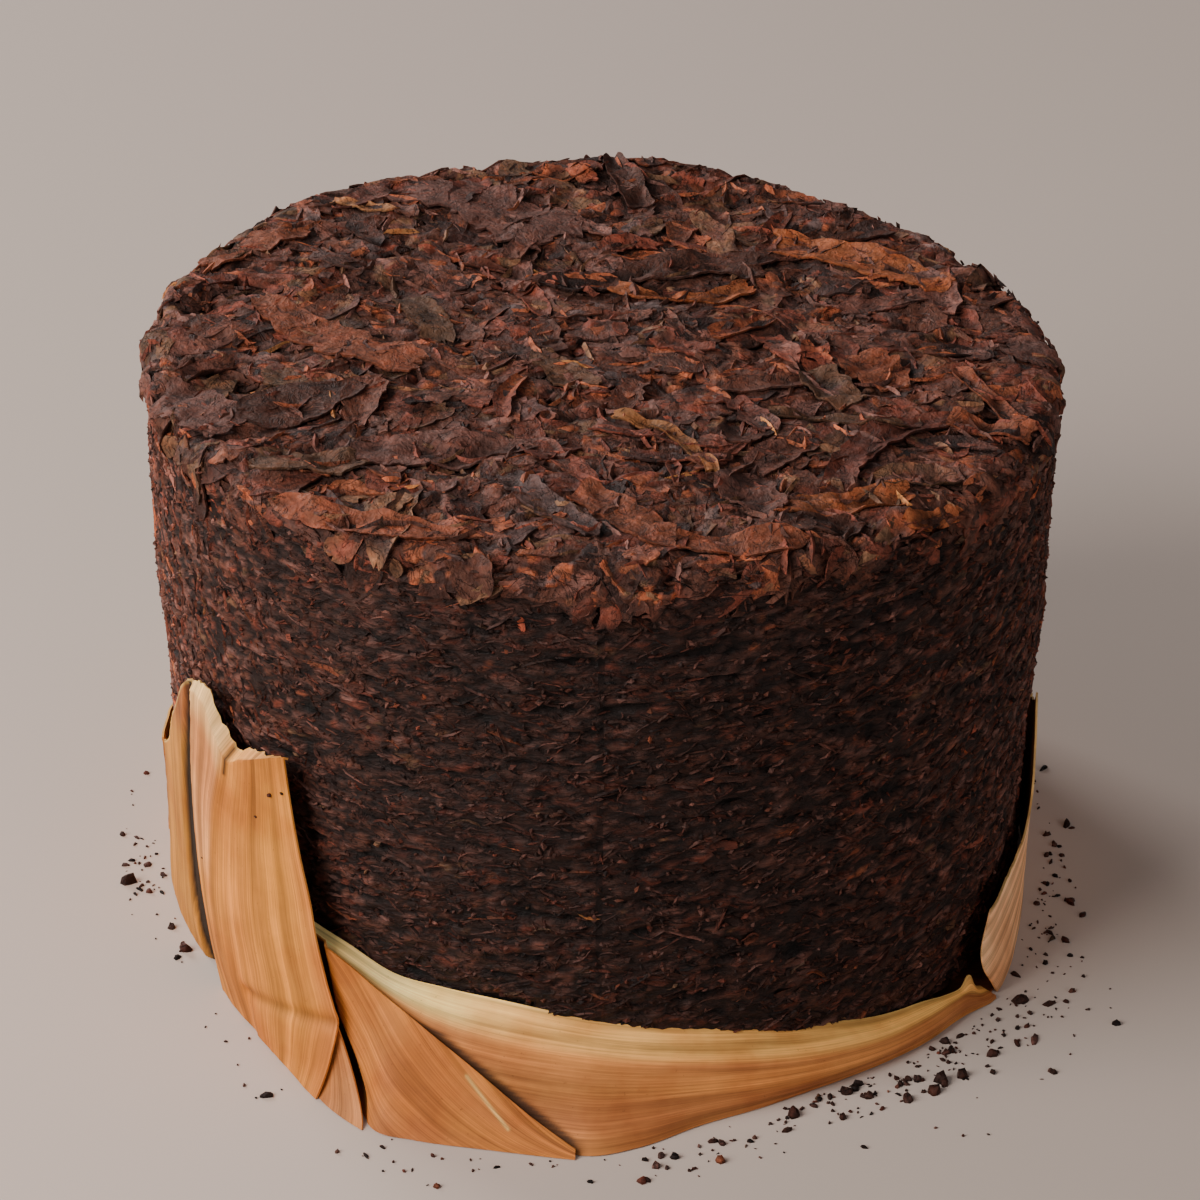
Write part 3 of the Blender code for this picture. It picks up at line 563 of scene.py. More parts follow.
def scattered(rng, count, area, length, width):
    """Random places and sizes: area is a pair of ranges, or one number for a disc's radius."""
    if isinstance(area, (int, float)):
        reach, turn = area * np.sqrt(rng.uniform(0, 1, count)), rng.uniform(0, 2 * math.pi, count)
        x, y = reach * np.cos(turn), reach * np.sin(turn)
    else:
        x, y = rng.uniform(*area[0], count), rng.uniform(*area[1], count)
    return {
        "x": x,
        "y": y,
        "heading": rng.uniform(0, 360, count),
        "length": length[0] + (length[1] - length[0]) * rng.beta(1.3, 2.6, count),
        "width": width[0] + (width[1] - width[0]) * rng.beta(1.6, 2.2, count),
    }


def side_headings(rng, x, spread):
    """Mostly level round the side, but steep on its left part."""
    angle = (np.degrees(x / RADIUS) + 180) % 360 - 180
    steep = ease((STEEP_NONE - np.abs(angle - STEEP_MIDDLE)) / (STEEP_NONE - STEEP_FULL))
    level = rng.normal(0, spread, len(x))
    is_steep = rng.uniform(0, 1, len(x)) < steep * STEEP_SHARE
    return np.where(is_steep, rng.normal(STEEP_HEADING, STEEP_SPREAD, len(x)), level)


def side_painted_light(x):
    """Factor of painted light and shade on the side at an arc length round it."""
    angle = (np.degrees(x / RADIUS) + 180) % 360 - 180
    return curve(SIDE_PAINTED_LIGHT, angle)[..., None]


def mixed_tints(rng, count, mix, gain, spread):
    """Random colours from a table of shares, each a little brighter or darker."""
    names = list(mix)
    share = np.array([mix[name] for name in names], float)
    picks = rng.choice(len(names), count, p=share / share.sum())
    tints = np.array([TEA[name] for name in names])[picks]
    return tints * gain * np.exp(rng.normal(0, spread, (count, 1)))


def press_chips(bed, rng, chips, tints, rise):
    """Lays thin torn chips on the bed one over another, each a little above what it covers."""
    x, y = bed.middles()
    torn = 1 + 0.75 * rough(x / 1.6, y / 1.6, 31)
    tilts = rng.uniform(-0.6, 0.6, len(tints)) * rise
    for k, tint in enumerate(tints):
        x, y, length, width = (chips[key][k] for key in ("x", "y", "length", "width"))
        turn = math.radians(chips["heading"][k])
        span = np.arange(-length / 2, length / 2 + bed.cell, bed.cell)
        dx, dy = np.meshgrid(span, span, indexing="ij")
        a = (dx * math.cos(turn) + dy * math.sin(turn)) * 2 / length
        b = (dy * math.cos(turn) - dx * math.sin(turn)) * 2 / width
        i, j = bed.cells(x + dx, y + dy)
        inside = np.abs(a) ** 3 + np.abs(b) ** 2 < torn[i, j]
        i, j = i[inside], j[inside]
        if len(i) == 0:
            continue
        under = bed.height[i, j]
        level = under.mean() + rise + tilts[k] * b[inside]
        above = level > under
        bed.height[i[above], j[above]] = level[above]
        bed.tint[i[above], j[above]] = tint
    bed.height -= bed.height.mean()


def leaf_plans(leaves, columns, rows, seed):
    """Outlines of thin leaves in plan, and how each point stands over the bed under it."""
    count = len(leaves["x"])
    own = np.arange(count)[:, None, None] * 13 + seed
    s = np.linspace(-1, 1, columns + 1)[None, :, None]
    t = np.linspace(-1, 1, rows + 1)[None, None, :]
    value = {key: np.asarray(leaves[key], float)[:, None, None] for key in leaves}
    turn = value["heading"] + value["bend"] * s / 2 + value["wander"] * noise(1.7 * s, own * 0.0, own)
    turn = np.radians(turn)
    step = value["length"] / columns
    middle = (turn[:, 1:] + turn[:, :-1]) / 2
    spine = []
    for along in (np.cos(middle), np.sin(middle)):
        path = np.concatenate([np.zeros((count, 1, 1)), np.cumsum(along * step, 1)], 1)
        spine.append(path - path.mean(1, keepdims=True))
    skewed = s + value["skew"] * (1 - s * s)
    blunt = value["blunt"] + (value["blunt_end"] - value["blunt"]) * (s + 1) / 2
    half = value["width"] / 2 * (blunt + (1 - blunt) * (1 - np.abs(skewed) ** 2.8) ** 0.75)
    far = value["length"] * s / 2
    edge = np.sign(t) * 31.0 + 0 * far
    torn = rough(far / 3.0, edge, own) + 0.6 * noise(far / 1.2, edge, own + 3)
    across = half * t * (1 + value["tatter"] * torn)
    end = value["tatter"] * value["width"] * 0.8 * noise(3.5 * t, 9.0 * np.sign(s), own) * s ** 6
    x = value["x"] + spine[0] + np.cos(turn) * end - np.sin(turn) * across
    y = value["y"] + spine[1] + np.sin(turn) * end + np.cos(turn) * across
    relative = half / value["width"] * 2
    rise = (value["curl"] * t * t + value["fold"] * np.abs(t)) * relative
    rise = rise + value["wave"] * rough(far / 6.0, across / 4.0, own + 5)
    rise = rise + value["crease"] * noise(across / 1.3, far / 9.0, own + 6)
    rise = rise + value["tip"] * ease((-s - 0.35) / 0.65) + value["tip_end"] * ease((s - 0.35) / 0.65)
    return x, y, rise, far + 0 * across, across


def soften(grid):
    """Grid averaged with its neighbours, along and then across."""
    wide = np.pad(grid, 1, mode="edge")
    wide = (wide[:-2] + 2 * wide[1:-1] + wide[2:]) / 4
    return (wide[:, :-2] + 2 * wide[:, 1:-1] + wide[:, 2:]) / 4


def settle(bed, x, y, rise, gap):
    """Lays leaves on the bed in turn, so that each rests on what lies under it."""
    level = np.empty_like(rise)
    for k in range(len(rise)):
        i, j = bed.cells(x[k], y[k])
        under = bed.height[i, j]
        for _ in range(SETTLE_PASSES):
            under = soften(under)
        level[k] = under + rise[k] + gap
        np.maximum.at(bed.height, (i, j), level[k])
    return level


def sheet_quads(columns, rows):
    """Faces of a closed sheet: two like faces on grids of points, joined round the rim."""
    wide = rows + 1
    count = (columns + 1) * wide
    i, j = np.meshgrid(np.arange(columns), np.arange(rows), indexing="ij")
    a = (i * wide + j).ravel()
    upper = np.stack([a, a + wide, a + wide + 1, a + 1], -1)
    lower = upper[:, ::-1] + count
    rim = [i * wide for i in range(columns)]
    rim += [columns * wide + j for j in range(rows)]
    rim += [i * wide + rows for i in range(columns, 0, -1)]
    rim += [j for j in range(rows, 0, -1)]
    rim = np.array(rim)
    there = np.roll(rim, -1)
    edge = np.stack([there, rim, rim + count, there + count], -1)
    return np.concatenate([upper, lower, edge])


def mesh_of(name, points, faces, tint, grain, sharp_angle):
    """Mesh in metres from points in millimetres, with a colour and a grain place at each point."""
    points, tint, grain = (part.reshape(-1, 3) for part in (points, tint, grain))
    mesh = bpy.data.meshes.new(name)
    mesh.vertices.add(len(points))
    mesh.vertices.foreach_set("co", (points * MM).astype(np.float32).ravel())
    mesh.loops.add(faces.size)
    mesh.loops.foreach_set("vertex_index", faces.astype(np.int32).ravel())
    mesh.polygons.add(len(faces))
    mesh.polygons.foreach_set("loop_start", np.arange(0, faces.size, faces.shape[1], dtype=np.int32))
    mesh.update(calc_edges=True)
    mesh.shade_smooth()
    mesh.set_sharp_from_angle(angle=math.radians(sharp_angle))
    colour = mesh.attributes.new("tint", "FLOAT_COLOR", "POINT")
    opaque = np.concatenate([tint, np.ones((len(tint), 1))], 1)
    colour.data.foreach_set("color", opaque.astype(np.float32).ravel())
    place = mesh.attributes.new("grain", "FLOAT_VECTOR", "POINT")
    place.data.foreach_set("vector", grain.astype(np.float32).ravel())
    return mesh


def add_piece(name, mesh, finish, node):
    item = bpy.data.objects.new(name, mesh)
    bpy.context.scene.collection.objects.link(item)
    mesh.materials.append(finish)
    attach(item, "root")
    if node:
        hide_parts(node)
    return item


def joined_mesh(name, points, colours, grain, one, finish, node="tea_column", sharp_angle=50):
    """Piece made of many like small meshes: arrays have one row for each, and one holds its faces."""
    count = len(points)
    stride = points.size // (3 * count)
    faces = one[None] + stride * np.arange(count)[:, None, None]
    mesh = mesh_of(name, points, faces.reshape(-1, one.shape[1]), colours, grain, sharp_angle)
    return add_piece(name, mesh, finish, node)


def leaf_piece(name, leaves, tints, seconds, shape, bed, place, gap, thickness, finish, seed,
               patches=1.0):
    """Joined mesh of thin closed leaves that are settled on the bed in turn."""
    columns, rows = shape
    count = len(tints)
    x, y, rise, far, across = leaf_plans(leaves, columns, rows, seed)
    level = settle(bed, x, y, rise, gap)
    points = np.stack([place(x, y, level), place(x, y, level - thickness)], 1)
    own = np.arange(count)[:, None, None]
    patch = patches * ease(0.5 + 1.3 * rough(far / 6.0, across / 4.0, own * 17 + seed + 3))[..., None]
    colours = tints[:, None, None] * (1 - patch) + seconds[:, None, None] * patch
    # The lower face gets half the colour: painted shade under each leaf, which also darkens its rim
    colours = np.stack([colours, colours * 0.5], 1)
    grain = np.stack([far, across, own * 3.7 + 0 * far], -1)
    grain = np.stack([grain, grain], 1)
    item = joined_mesh(name, points, colours, grain, sheet_quads(columns, rows), finish)
    lie = (np.stack([x, x], 1), np.stack([y, y], 1), np.stack([level, level - thickness], 1))
    bed.laid.append((item.data, *lie))


def leaf_habit(rng, leaves, bend, curl, wave, tip, tatter, wander=12, crease=0.1):
    """Adds how each leaf bends, curls and tears to the places and sizes of scattered leaves."""
    count = len(leaves["x"])
    leaves["bend"] = rng.normal(0, bend, count)
    leaves["wander"] = np.full(count, wander)
    leaves["skew"] = rng.uniform(-0.35, 0.35, count)
    leaves["blunt"] = rng.choice([0.1, 0.4, 0.7, 0.9], count)
    leaves["blunt_end"] = rng.choice([0.1, 0.4, 0.7, 0.9], count)
    leaves["tatter"] = rng.uniform(0.4, 1.0, count) * tatter
    leaves["curl"] = rng.normal(-0.3, 1, count) * curl
    leaves["fold"] = rng.normal(-0.3, 1, count) * curl * 0.7
    leaves["wave"] = rng.uniform(0.4, 1, count) * wave
    leaves["crease"] = rng.uniform(0, 1, count) * crease
    leaves["tip"] = rng.exponential(tip, count)
    leaves["tip_end"] = rng.exponential(tip, count)


# A strand: places of its three rings along it, their relative widths, and its faces
STRAND_RINGS = np.array([-0.58, 0.02, 0.6])
STRAND_WIDTHS = np.array([0.8, 1.0, 0.75])
STRAND_SIDES = [(3 * ring + a, 3 * ring + b) for ring in (0, 1) for a, b in ((1, 2), (2, 3), (3, 1))]
STRAND_FACES = np.array(
    [(0, 2, 1), (0, 3, 2), (0, 1, 3)]
    + [(a, b, b + 3) for a, b in STRAND_SIDES]
    + [(a, b + 3, a + 3) for a, b in STRAND_SIDES]
    + [(10, 7, 8), (10, 8, 9), (10, 9, 7)])


def strand_piece(name, rng, strands, tints, bed, place, finish, thick):
    """Joined mesh of small closed strands, three-sided and pointed, laid on the bed in turn."""
    count = len(tints)
    turn = np.radians(strands["heading"])[:, None]
    along = np.stack([np.cos(turn), np.sin(turn)])
    aside = np.stack([-np.sin(turn), np.cos(turn)])
    start = np.stack([strands["x"], strands["y"]])[..., None]
    length, width = strands["length"][:, None], strands["width"][:, None]
    s = np.concatenate([[-1], STRAND_RINGS, [1]])[None] + rng.uniform(-0.12, 0.12, (count, 5))
    bow = rng.normal(0, 0.09, (count, 1)) * length * (1 - s * s) + rng.normal(0, 0.08, (count, 5)) * width
    spine = start + along * s * length / 2 + aside * bow
    level = np.empty((count, 5))
    for k in range(count):
        i, j = bed.cells(spine[0, k], spine[1, k])
        under = bed.height[i, j]
        level[k] = 0.5 * under + 0.5 * under.mean()
        top = level[k] + width[k] * thick * 0.7
        bed.height[i[1:4], j[1:4]] = np.maximum(under, top)[1:4]
    half = width / 2 * STRAND_WIDTHS * rng.uniform(0.75, 1.25, (count, 3))
    height = width * thick * rng.uniform(0.7, 1.2, (count, 3))
    ridge = rng.uniform(-0.35, 0.35, (count, 3)) * half
    ring = np.stack([half, ridge, -half], -1)
    lift = level[:, 1:4, None] + np.stack([0 * height - STRAND_SINK, height, 0 * height - STRAND_SINK], -1)
    x = spine[0, :, 1:4, None] + aside[0][..., None] * ring
    y = spine[1, :, 1:4, None] + aside[1][..., None] * ring
    parts = []
    for values, ends in ((x, spine[0]), (y, spine[1]), (lift, level + rng.uniform(-0.2, 0.3, (count, 5)))):
        parts.append(np.concatenate([ends[:, :1], values.reshape(count, 9), ends[:, 4:]], 1))
    points = place(*parts)
    far = np.concatenate([-length / 2, np.repeat(STRAND_RINGS, 3)[None] * length / 2, length / 2], 1)
    across = np.concatenate([0 * length, ring.reshape(count, 9), 0 * length], 1)
    grain = np.stack([far, across, np.arange(count)[:, None] * 3.7 + 0 * far], -1)
    colours = tints[:, None] * rng.uniform(0.7, 1.3, (count, 11, 1))
    item = joined_mesh(name, points, colours, grain, STRAND_FACES, finish)
    bed.laid.append((item.data, *parts))


# A grain: four corners and a top
GRAIN_FACES = np.array([(0, 1, 4), (1, 2, 4), (2, 3, 4), (3, 0, 4), (0, 3, 2), (0, 2, 1)])


def grain_points(rng, sizes):
    """Corners of small broken grains, as lengths along, aside and up from their middles."""
    count = len(sizes)
    length, width, height = (sizes[:, k, None] for k in range(3))
    along = np.array([-1, -0.1, 1, 0.1, 0.0]) + rng.uniform(-0.25, 0.25, (count, 5))
    aside = np.array([-0.1, -1, 0.1, 1, 0.0]) + rng.uniform(-0.3, 0.3, (count, 5))
    up = np.array([0, 0, 0, 0, 1.0]) + rng.uniform(0, 0.25, (count, 5))
    return along * length / 2, aside * width / 2, up * height


def side_grains(name, rng, count, area, bed, finish):
    """Fine crumbs of leaf that fill the side between the strands."""
    x, y = rng.uniform(*area[0], count), rng.uniform(*area[1], count)
    sizes = np.stack([rng.uniform(0.8, 2.6, count), rng.uniform(0.6, 1.7, count),
                      rng.uniform(0.25, 0.8, count)], -1)
    along, aside, up = grain_points(rng, sizes)
    turn = rng.normal(0, 0.8, (count, 1))
    px = x[:, None] + along * np.cos(turn) - aside * np.sin(turn)
    py = y[:, None] + along * np.sin(turn) + aside * np.cos(turn)
    level = bed.height[bed.cells(x, y)][:, None] - 0.2 + up
    i, j = bed.cells(x, y)
    bed.height[i, j] = np.maximum(bed.height[i, j], level[:, 4])
    # Painted light and shade of the side by angle
    tints = mixed_tints(rng, count, SIDE_MIX, GRAIN_GAIN, spread=0.3)[:, None] * side_painted_light(px)
    grain = np.stack([px, py, 0 * px], -1)
    item = joined_mesh(name, wall(px, py, level), tints, grain, GRAIN_FACES, finish)
    bed.laid.append((item.data, px, py, level))


def crumb_faces():
    """Faces of a crumb: a foot ring, a narrower upper ring, and both ends closed."""
    here = np.arange(CRUMB_SIDES)
    there = (here + 1) % CRUMB_SIDES
    walls = [np.stack([here, there, there + CRUMB_SIDES], -1),
             np.stack([here, there + CRUMB_SIDES, here + CRUMB_SIDES], -1)]
    fan = np.stack([0 * here, here, there], -1)[1:-1]
    return np.concatenate([*walls, fan[:, ::-1], fan + CRUMB_SIDES])


def crumb_places(rng):
    """Middles, three axes and lengths of the crumbs on the floor and on the flap."""
    spots = []
    for angle, spread, reach, far, count in CRUMB_HEAPS:
        spots.append(np.stack([rng.normal(angle, spread, count),
                               reach + far * rng.uniform(0, 1, count) ** 1.6], -1))
    spots = np.concatenate(spots)
    aside = np.maximum(np.abs(np.sin(np.radians(spots[:, 0]))), 0.5)
    spots[:, 1] = np.minimum(spots[:, 1], CRUMB_EDGE / aside)
    count = len(spots)
    turn = rng.uniform(0, 2 * math.pi, count)
    level, upright = np.zeros(count), np.ones(count)
    middles = [ring_points(spots[:, 0], spots[:, 1], np.full(count, CRUMB_LIFT))]
    axes = [np.stack([np.stack([np.cos(turn), np.sin(turn), level], -1),
                      np.stack([-np.sin(turn), np.cos(turn), level], -1),
                      np.stack([level, level, upright], -1)], 1)]
    for share, height, _ in FLAP_CRUMBS:
        angle, radius = (float(part) for part in flap_wall(share, height))
        middles.append(ring_points(np.array([angle]), np.array([radius]), height))
        out = middles[-1][0] * (1, 1, 0) / radius
        axes.append(np.array([[(-out[1], out[0], 0), (0, 0, 1), out]]))
    lengths = np.minimum(0.5 + rng.exponential(0.85, count), CRUMB_LONGEST)
    lengths = np.concatenate([lengths, [size for *_, size in FLAP_CRUMBS]])
    return np.concatenate(middles), np.concatenate(axes), lengths


def crumbs(rng, finish):
    """Crumbs and shreds of tea that fell beside the foot, and a few on the flap."""
    middles, axes, length = crumb_places(rng)
    count = len(length)
    length = length[:, None]
    width = length * rng.uniform(0.35, 0.9, (count, 1))
    ring = (count, CRUMB_SIDES)
    turn = np.arange(CRUMB_SIDES)[None] * 2 * math.pi / CRUMB_SIDES + rng.uniform(0, 0.6, ring)
    foot = rng.uniform(0.65, 1.1, ring)
    reach = np.concatenate([foot, foot * rng.uniform(0.5, 0.85, ring)], 1)
    turn = np.concatenate([turn, turn], 1)
    rise = np.concatenate([np.zeros(ring), rng.uniform(0.6, 1.2, ring)], 1)
    own = np.stack([reach * np.cos(turn) * length / 2, reach * np.sin(turn) * width / 2,
                    rise * width * rng.uniform(0.3, 0.6, (count, 1))], -1)
    points = middles[:, None] + own @ axes
    tints = mixed_tints(rng, count, SIDE_MIX, CRUMB_GAIN, spread=0.3)[:, None] + 0 * own[..., :1]
    joined_mesh("tea_crumbs", points, tints, points, crumb_faces(), finish, node=None,
                sharp_angle=180)


def disc_grid(cells):
    """Square grid of cells mapped onto the unit disc, ring by ring."""
    side = np.linspace(-1, 1, cells + 1)
    u, v = np.meshgrid(side, side, indexing="ij")
    radius = np.maximum(np.abs(u), np.abs(v))
    wide = np.abs(u) >= np.abs(v)
    safe = np.where(radius == 0, 1, radius)
    turn = np.where(wide, v / safe, u / safe) * math.pi / 4
    x = np.where(wide, np.sign(u) * np.cos(turn), np.sin(turn)) * radius
    y = np.where(wide, np.sin(turn), np.sign(v) * np.cos(turn)) * radius
    return x, y


# Reach, mesh cells and pressed chips of the top, then the same of the side with its bed's cells
TOP_REACH = FLAT + QUARTER + 4.0
TOP_CELLS = 210
TOP_CHIPS = 5500
SIDE_TOP = TOP - SHOULDER + 1.0
SIDE_COLUMNS = 450
SIDE_ROWS = 140
SIDE_CHIPS = 16000
SIDE_CELLS = 1260


def grid_quads(columns, rows, closed=False):
    """Faces of an open grid of points; a closed one joins its last column to its first."""
    wide = rows + 1
    count = columns if closed else columns + 1
    i, j = np.meshgrid(np.arange(columns), np.arange(rows), indexing="ij")
    here, there = i * wide + j, (i + 1) % count * wide + j
    return np.stack([here, there, there + 1, here + 1], -1).reshape(-1, 4)


def core_piece(name, bed, height, x, y, place, faces, finish):
    """The bed itself as a mesh, under the leaves and strands that are laid on it."""
    cells = bed.cells(x, y)
    level = height[cells]
    mesh = mesh_of(name, place(x, y, level), faces, bed.tint[cells], np.stack([x, y, 0 * x], -1),
                   sharp_angle=180)
    bed.laid.append((mesh, x, y, level))
    add_piece(name, mesh, finish, "tea_column")


def core_top(bed, finish):
    x, y = (part * (FLAT + QUARTER + 2.0) for part in disc_grid(TOP_CELLS))
    core_piece("tea_core_top", bed, soften(bed.height) - TOP_INSET, x, y, drape,
               grid_quads(TOP_CELLS, TOP_CELLS), finish)


def core_side(bed, finish):
    share = np.linspace(0, 1, SIDE_ROWS + 1)[None, :]
    arc = np.linspace(0, ROUND, SIDE_COLUMNS, endpoint=False)[:, None]
    rim = SIDE_TOP + TOP_SLOPE * RADIUS * np.sin(arc / RADIUS)
    height = FOOT + (rim - FOOT) * share
    core_piece("tea_core_side", bed, bed.height - SIDE_INSET, arc + 0 * height, height, wall,
               grid_quads(SIDE_COLUMNS, SIDE_ROWS, True), finish)


# Strands of the side: name, count, lengths, widths, colours and spread of their headings
STRAND_KINDS = (
    ("tea_side_strands", 10000, (1.8, 9), (0.4, 1.1), SIDE_MIX, 22),
    ("tea_side_shreds", 330, (2, 9), (0.4, 1.1), BRIGHT_MIX, 32),
    ("tea_side_long_shreds", 80, (8, 16), (0.7, 1.5), LONG_MIX, 24),
)


def pits(x, y, seed):
    """Share from 0 to 1 of how deep inside a small dark pit each place is."""
    return ease((noise(x / 8.5, y / 1.7, seed) - 0.58) / 0.2)


def top_pieces(rng, finish, calm):
    """Top of the column: a chipped core, then strands and leaves of several sizes laid on it."""
    fine = Bed((-TOP_REACH,) * 2, (TOP_REACH,) * 2, 0.5)
    fine.tint[:] = TEA["umber"] * TOP_GAIN
    chips = scattered(rng, TOP_CHIPS, TOP_REACH, length=(3, 14), width=(1.5, 6))
    tints = mixed_tints(rng, TOP_CHIPS, TOP_MIX, TOP_GAIN, spread=0.2)
    press_chips(fine, rng, chips, tints, rise=0.32)
    x, y = fine.middles()
    fine.height += TOP_LUMPS * rough(x / 17, y / 14, 61) + 0.12 * noise(x / 1.3, y / 1.3, 62)
    fine.height -= CREVICE_DEPTH * peak(rough(x / 19, y / 9, 65), 0, CREVICE_WIDTH)
    core_top(fine, finish)
    bed = fine.coarser(1.0)
    bed.height -= TOP_INSET

    def lay(name, leaves, shape, mix, gap, thickness, seed):
        count = len(leaves["x"])
        leaf_piece(name, leaves, mixed_tints(rng, count, mix, TOP_GAIN, spread=0.18),
                   mixed_tints(rng, count, mix, TOP_GAIN, spread=0.22), shape, bed, drape, gap,
                   thickness, finish, seed)

    def strew(name, count, reach, length, width, mix):
        strands = scattered(rng, count, reach, length, width)
        tints = mixed_tints(rng, count, mix, TOP_GAIN, spread=0.22)
        strand_piece(name, rng, strands, tints, bed, drape, finish, thick=0.3)

    small = scattered(rng, 1000, TOP_REACH, length=(3, 14), width=(2, 6))
    leaf_habit(rng, small, bend=25, curl=0.4, wave=0.5, tip=0.12, tatter=0.5)
    lay("tea_top_small_leaves", small, (4, 2), TOP_MIX, gap=0.15, thickness=0.45, seed=100)
    strew("tea_top_strands", 1300, TOP_REACH, length=(3, 12), width=(0.8, 2.2), mix=TOP_MIX)
    middling = scattered(rng, 760, TOP_REACH - 2, length=(8, 27), width=(3.5, 10))
    leaf_habit(rng, middling, bend=28, curl=0.6, wave=0.7, tip=0.15, tatter=0.4, crease=0.35)
    lay("tea_top_leaves", middling, (10, 4), TOP_MIX, gap=0.15, thickness=0.5, seed=200)
    hero_leaves(rng, bed, calm)
    strew("tea_top_shreds", 620, TOP_REACH - 3, length=(3, 15), width=(0.9, 2.4), mix=STRAY_MIX)
    bed.shade_hollows(TOP_SHADE)


def hero_leaves(rng, bed, finish):
    rows = HERO_LEAVES
    leaves = {key: np.array([row[index] for row in rows], float)
              for index, key in enumerate(("x", "y", "heading", "length", "width", "bend"))}
    bend = leaves["bend"].copy()
    leaf_habit(rng, leaves, bend=0, curl=0.2, wave=0.7, tip=0.15, tatter=0.24, wander=6, crease=0.3)
    leaves["bend"] = bend
    leaves["curl"] = 0.3 + np.array([row[7] for row in rows])
    tints = np.array([TEA[row[6]] * HERO_SHARE + TEA["umber"] * (1 - HERO_SHARE) for row in rows])
    tints *= HERO_GAIN
    seconds = tints * rng.uniform(0.5, 0.85, (len(rows), 1))
    leaf_piece("tea_top_large_leaves", leaves, tints, seconds, (30, 10), bed, drape, gap=0.3,
               thickness=0.6, finish=finish, seed=400, patches=0.7)


def side_pieces(rng, finish):
    """Side of the column: a chipped core with fine strands and small flakes pressed on it."""
    fine = Bed((0, 0), (ROUND, SIDE_TOP + 4), ROUND / SIDE_CELLS, True)
    fine.tint[:] = TEA["ink"] * SIDE_GAIN

    def coloured(x, mix, spread):
        # Painted light and shade of the side by angle
        return mixed_tints(rng, len(x), mix, SIDE_GAIN, spread) * side_painted_light(x)

    area = ((0, ROUND), (0, SIDE_TOP + 2))
    chips = scattered(rng, SIDE_CHIPS, area, length=(1.6, 8), width=(0.7, 2.0))
    chips["heading"] = side_headings(rng, chips["x"], spread=20)
    press_chips(fine, rng, chips, coloured(chips["x"], SIDE_MIX, spread=0.28), rise=0.24)
    x, y = fine.middles()
    deep = pits(x, y, 71)
    fine.height += SIDE_LUMPS * rough(x / 22, y / 12, 63) - PIT_DEPTH * deep
    fine.height += 0.25 * noise(x / 1.8, y / 1.5, 64)
    # Painted shade in the pits
    fine.tint *= (1 - 0.7 * deep)[..., None]
    core_side(fine, finish)
    bed = fine.coarser(ROUND / (SIDE_CELLS // 2))
    bed.height -= SIDE_INSET
    flakes = scattered(rng, 380, area, length=(4, 12), width=(1.2, 3.2))
    flakes["heading"] = side_headings(rng, flakes["x"], spread=14)
    leaf_habit(rng, flakes, bend=16, curl=0.25, wave=0.35, tip=0.15, tatter=0.7)
    leaf_piece("tea_side_flakes", flakes, coloured(flakes["x"], SIDE_MIX, spread=0.25),
               coloured(flakes["x"], SIDE_MIX, spread=0.25), (5, 2), bed, wall, gap=0.05,
               thickness=0.35, finish=finish, seed=500)
    for name, count, length, width, mix, spread in STRAND_KINDS:
        strands = scattered(rng, int(count * 1.1), area, length, width)
        open_air = pits(strands["x"], strands["y"], 71) < 0.2
        strands = {key: value[open_air][:count] for key, value in strands.items()}
        strands["heading"] = side_headings(rng, strands["x"], spread)
        tints = coloured(strands["x"], mix, spread=0.26)
        strand_piece(name, rng, strands, tints, bed, wall, finish, thick=0.45)
    side_grains("tea_side_grains", rng, 11000, area, bed, finish)
    bed.shade_hollows(SIDE_SHADE)


def add(tree, kind, sockets=None, **settings):
    """New shader node: sockets hold values or other nodes' outputs."""
    node = tree.nodes.new("ShaderNode" + kind)
    for key, value in settings.items():
        setattr(node, key, value)
    for socket, value in (sockets or {}).items():
        if isinstance(value, bpy.types.NodeSocket):
            tree.links.new(value, node.inputs[socket])
        else:
            node.inputs[socket].default_value = value
    return node


def new_material(name):
    finish = bpy.data.materials.new(name)
    finish.use_nodes = True
    return finish, finish.node_tree, finish.node_tree.nodes["Principled BSDF"]


def spread_of(tree, value, low, high, new_low, new_high):
    """Output of a node that maps one range of a value to another."""
    return add(tree, "MapRange", {"Value": value, "From Min": low, "From Max": high,
                                  "To Min": new_low, "To Max": new_high}).outputs["Result"]


def noise_of(tree, vector, scale, detail=3.0, roughness=0.55, distortion=0.0):
    return add(tree, "TexNoise", {"Vector": vector, "Scale": scale, "Detail": detail,
                                  "Roughness": roughness, "Distortion": distortion}).outputs["Fac"]


def times(tree, a, b):
    return add(tree, "Math", {0: a, 1: b}, operation="MULTIPLY").outputs[0]


def plus(tree, a, b):
    return add(tree, "Math", {0: a, 1: b}, operation="ADD").outputs[0]


def scaled(tree, colour, share):
    return add(tree, "VectorMath", {"Vector": colour, "Scale": share}, operation="SCALE").outputs[0]


def tinted(tree, colour, filter_colour, share):
    """Colour multiplied by a filter where a share says so."""
    other = add(tree, "VectorMath", {0: colour, 1: filter_colour}, operation="MULTIPLY").outputs[0]
    return add(tree, "Mix", {"Factor": share, "A": colour, "B": other},
               data_type="VECTOR").outputs["Result"]


def lines_of(tree, value, width):
    """Thin lines where a noise crosses its middle: 1 on the line and 0 away from it."""
    away = add(tree, "Math", {0: value, 1: 0.5}, operation="SUBTRACT").outputs[0]
    away = add(tree, "Math", {0: away}, operation="ABSOLUTE").outputs[0]
    return spread_of(tree, away, 0.0, width, 1.0, 0.0)


def sources_of(tree):
    """Colour and grain place stored at the points, and the place in the object."""
    return (add(tree, "Attribute", attribute_name="tint").outputs["Color"],
            add(tree, "Attribute", attribute_name="grain").outputs["Vector"],
            add(tree, "TexCoord").outputs["Object"])


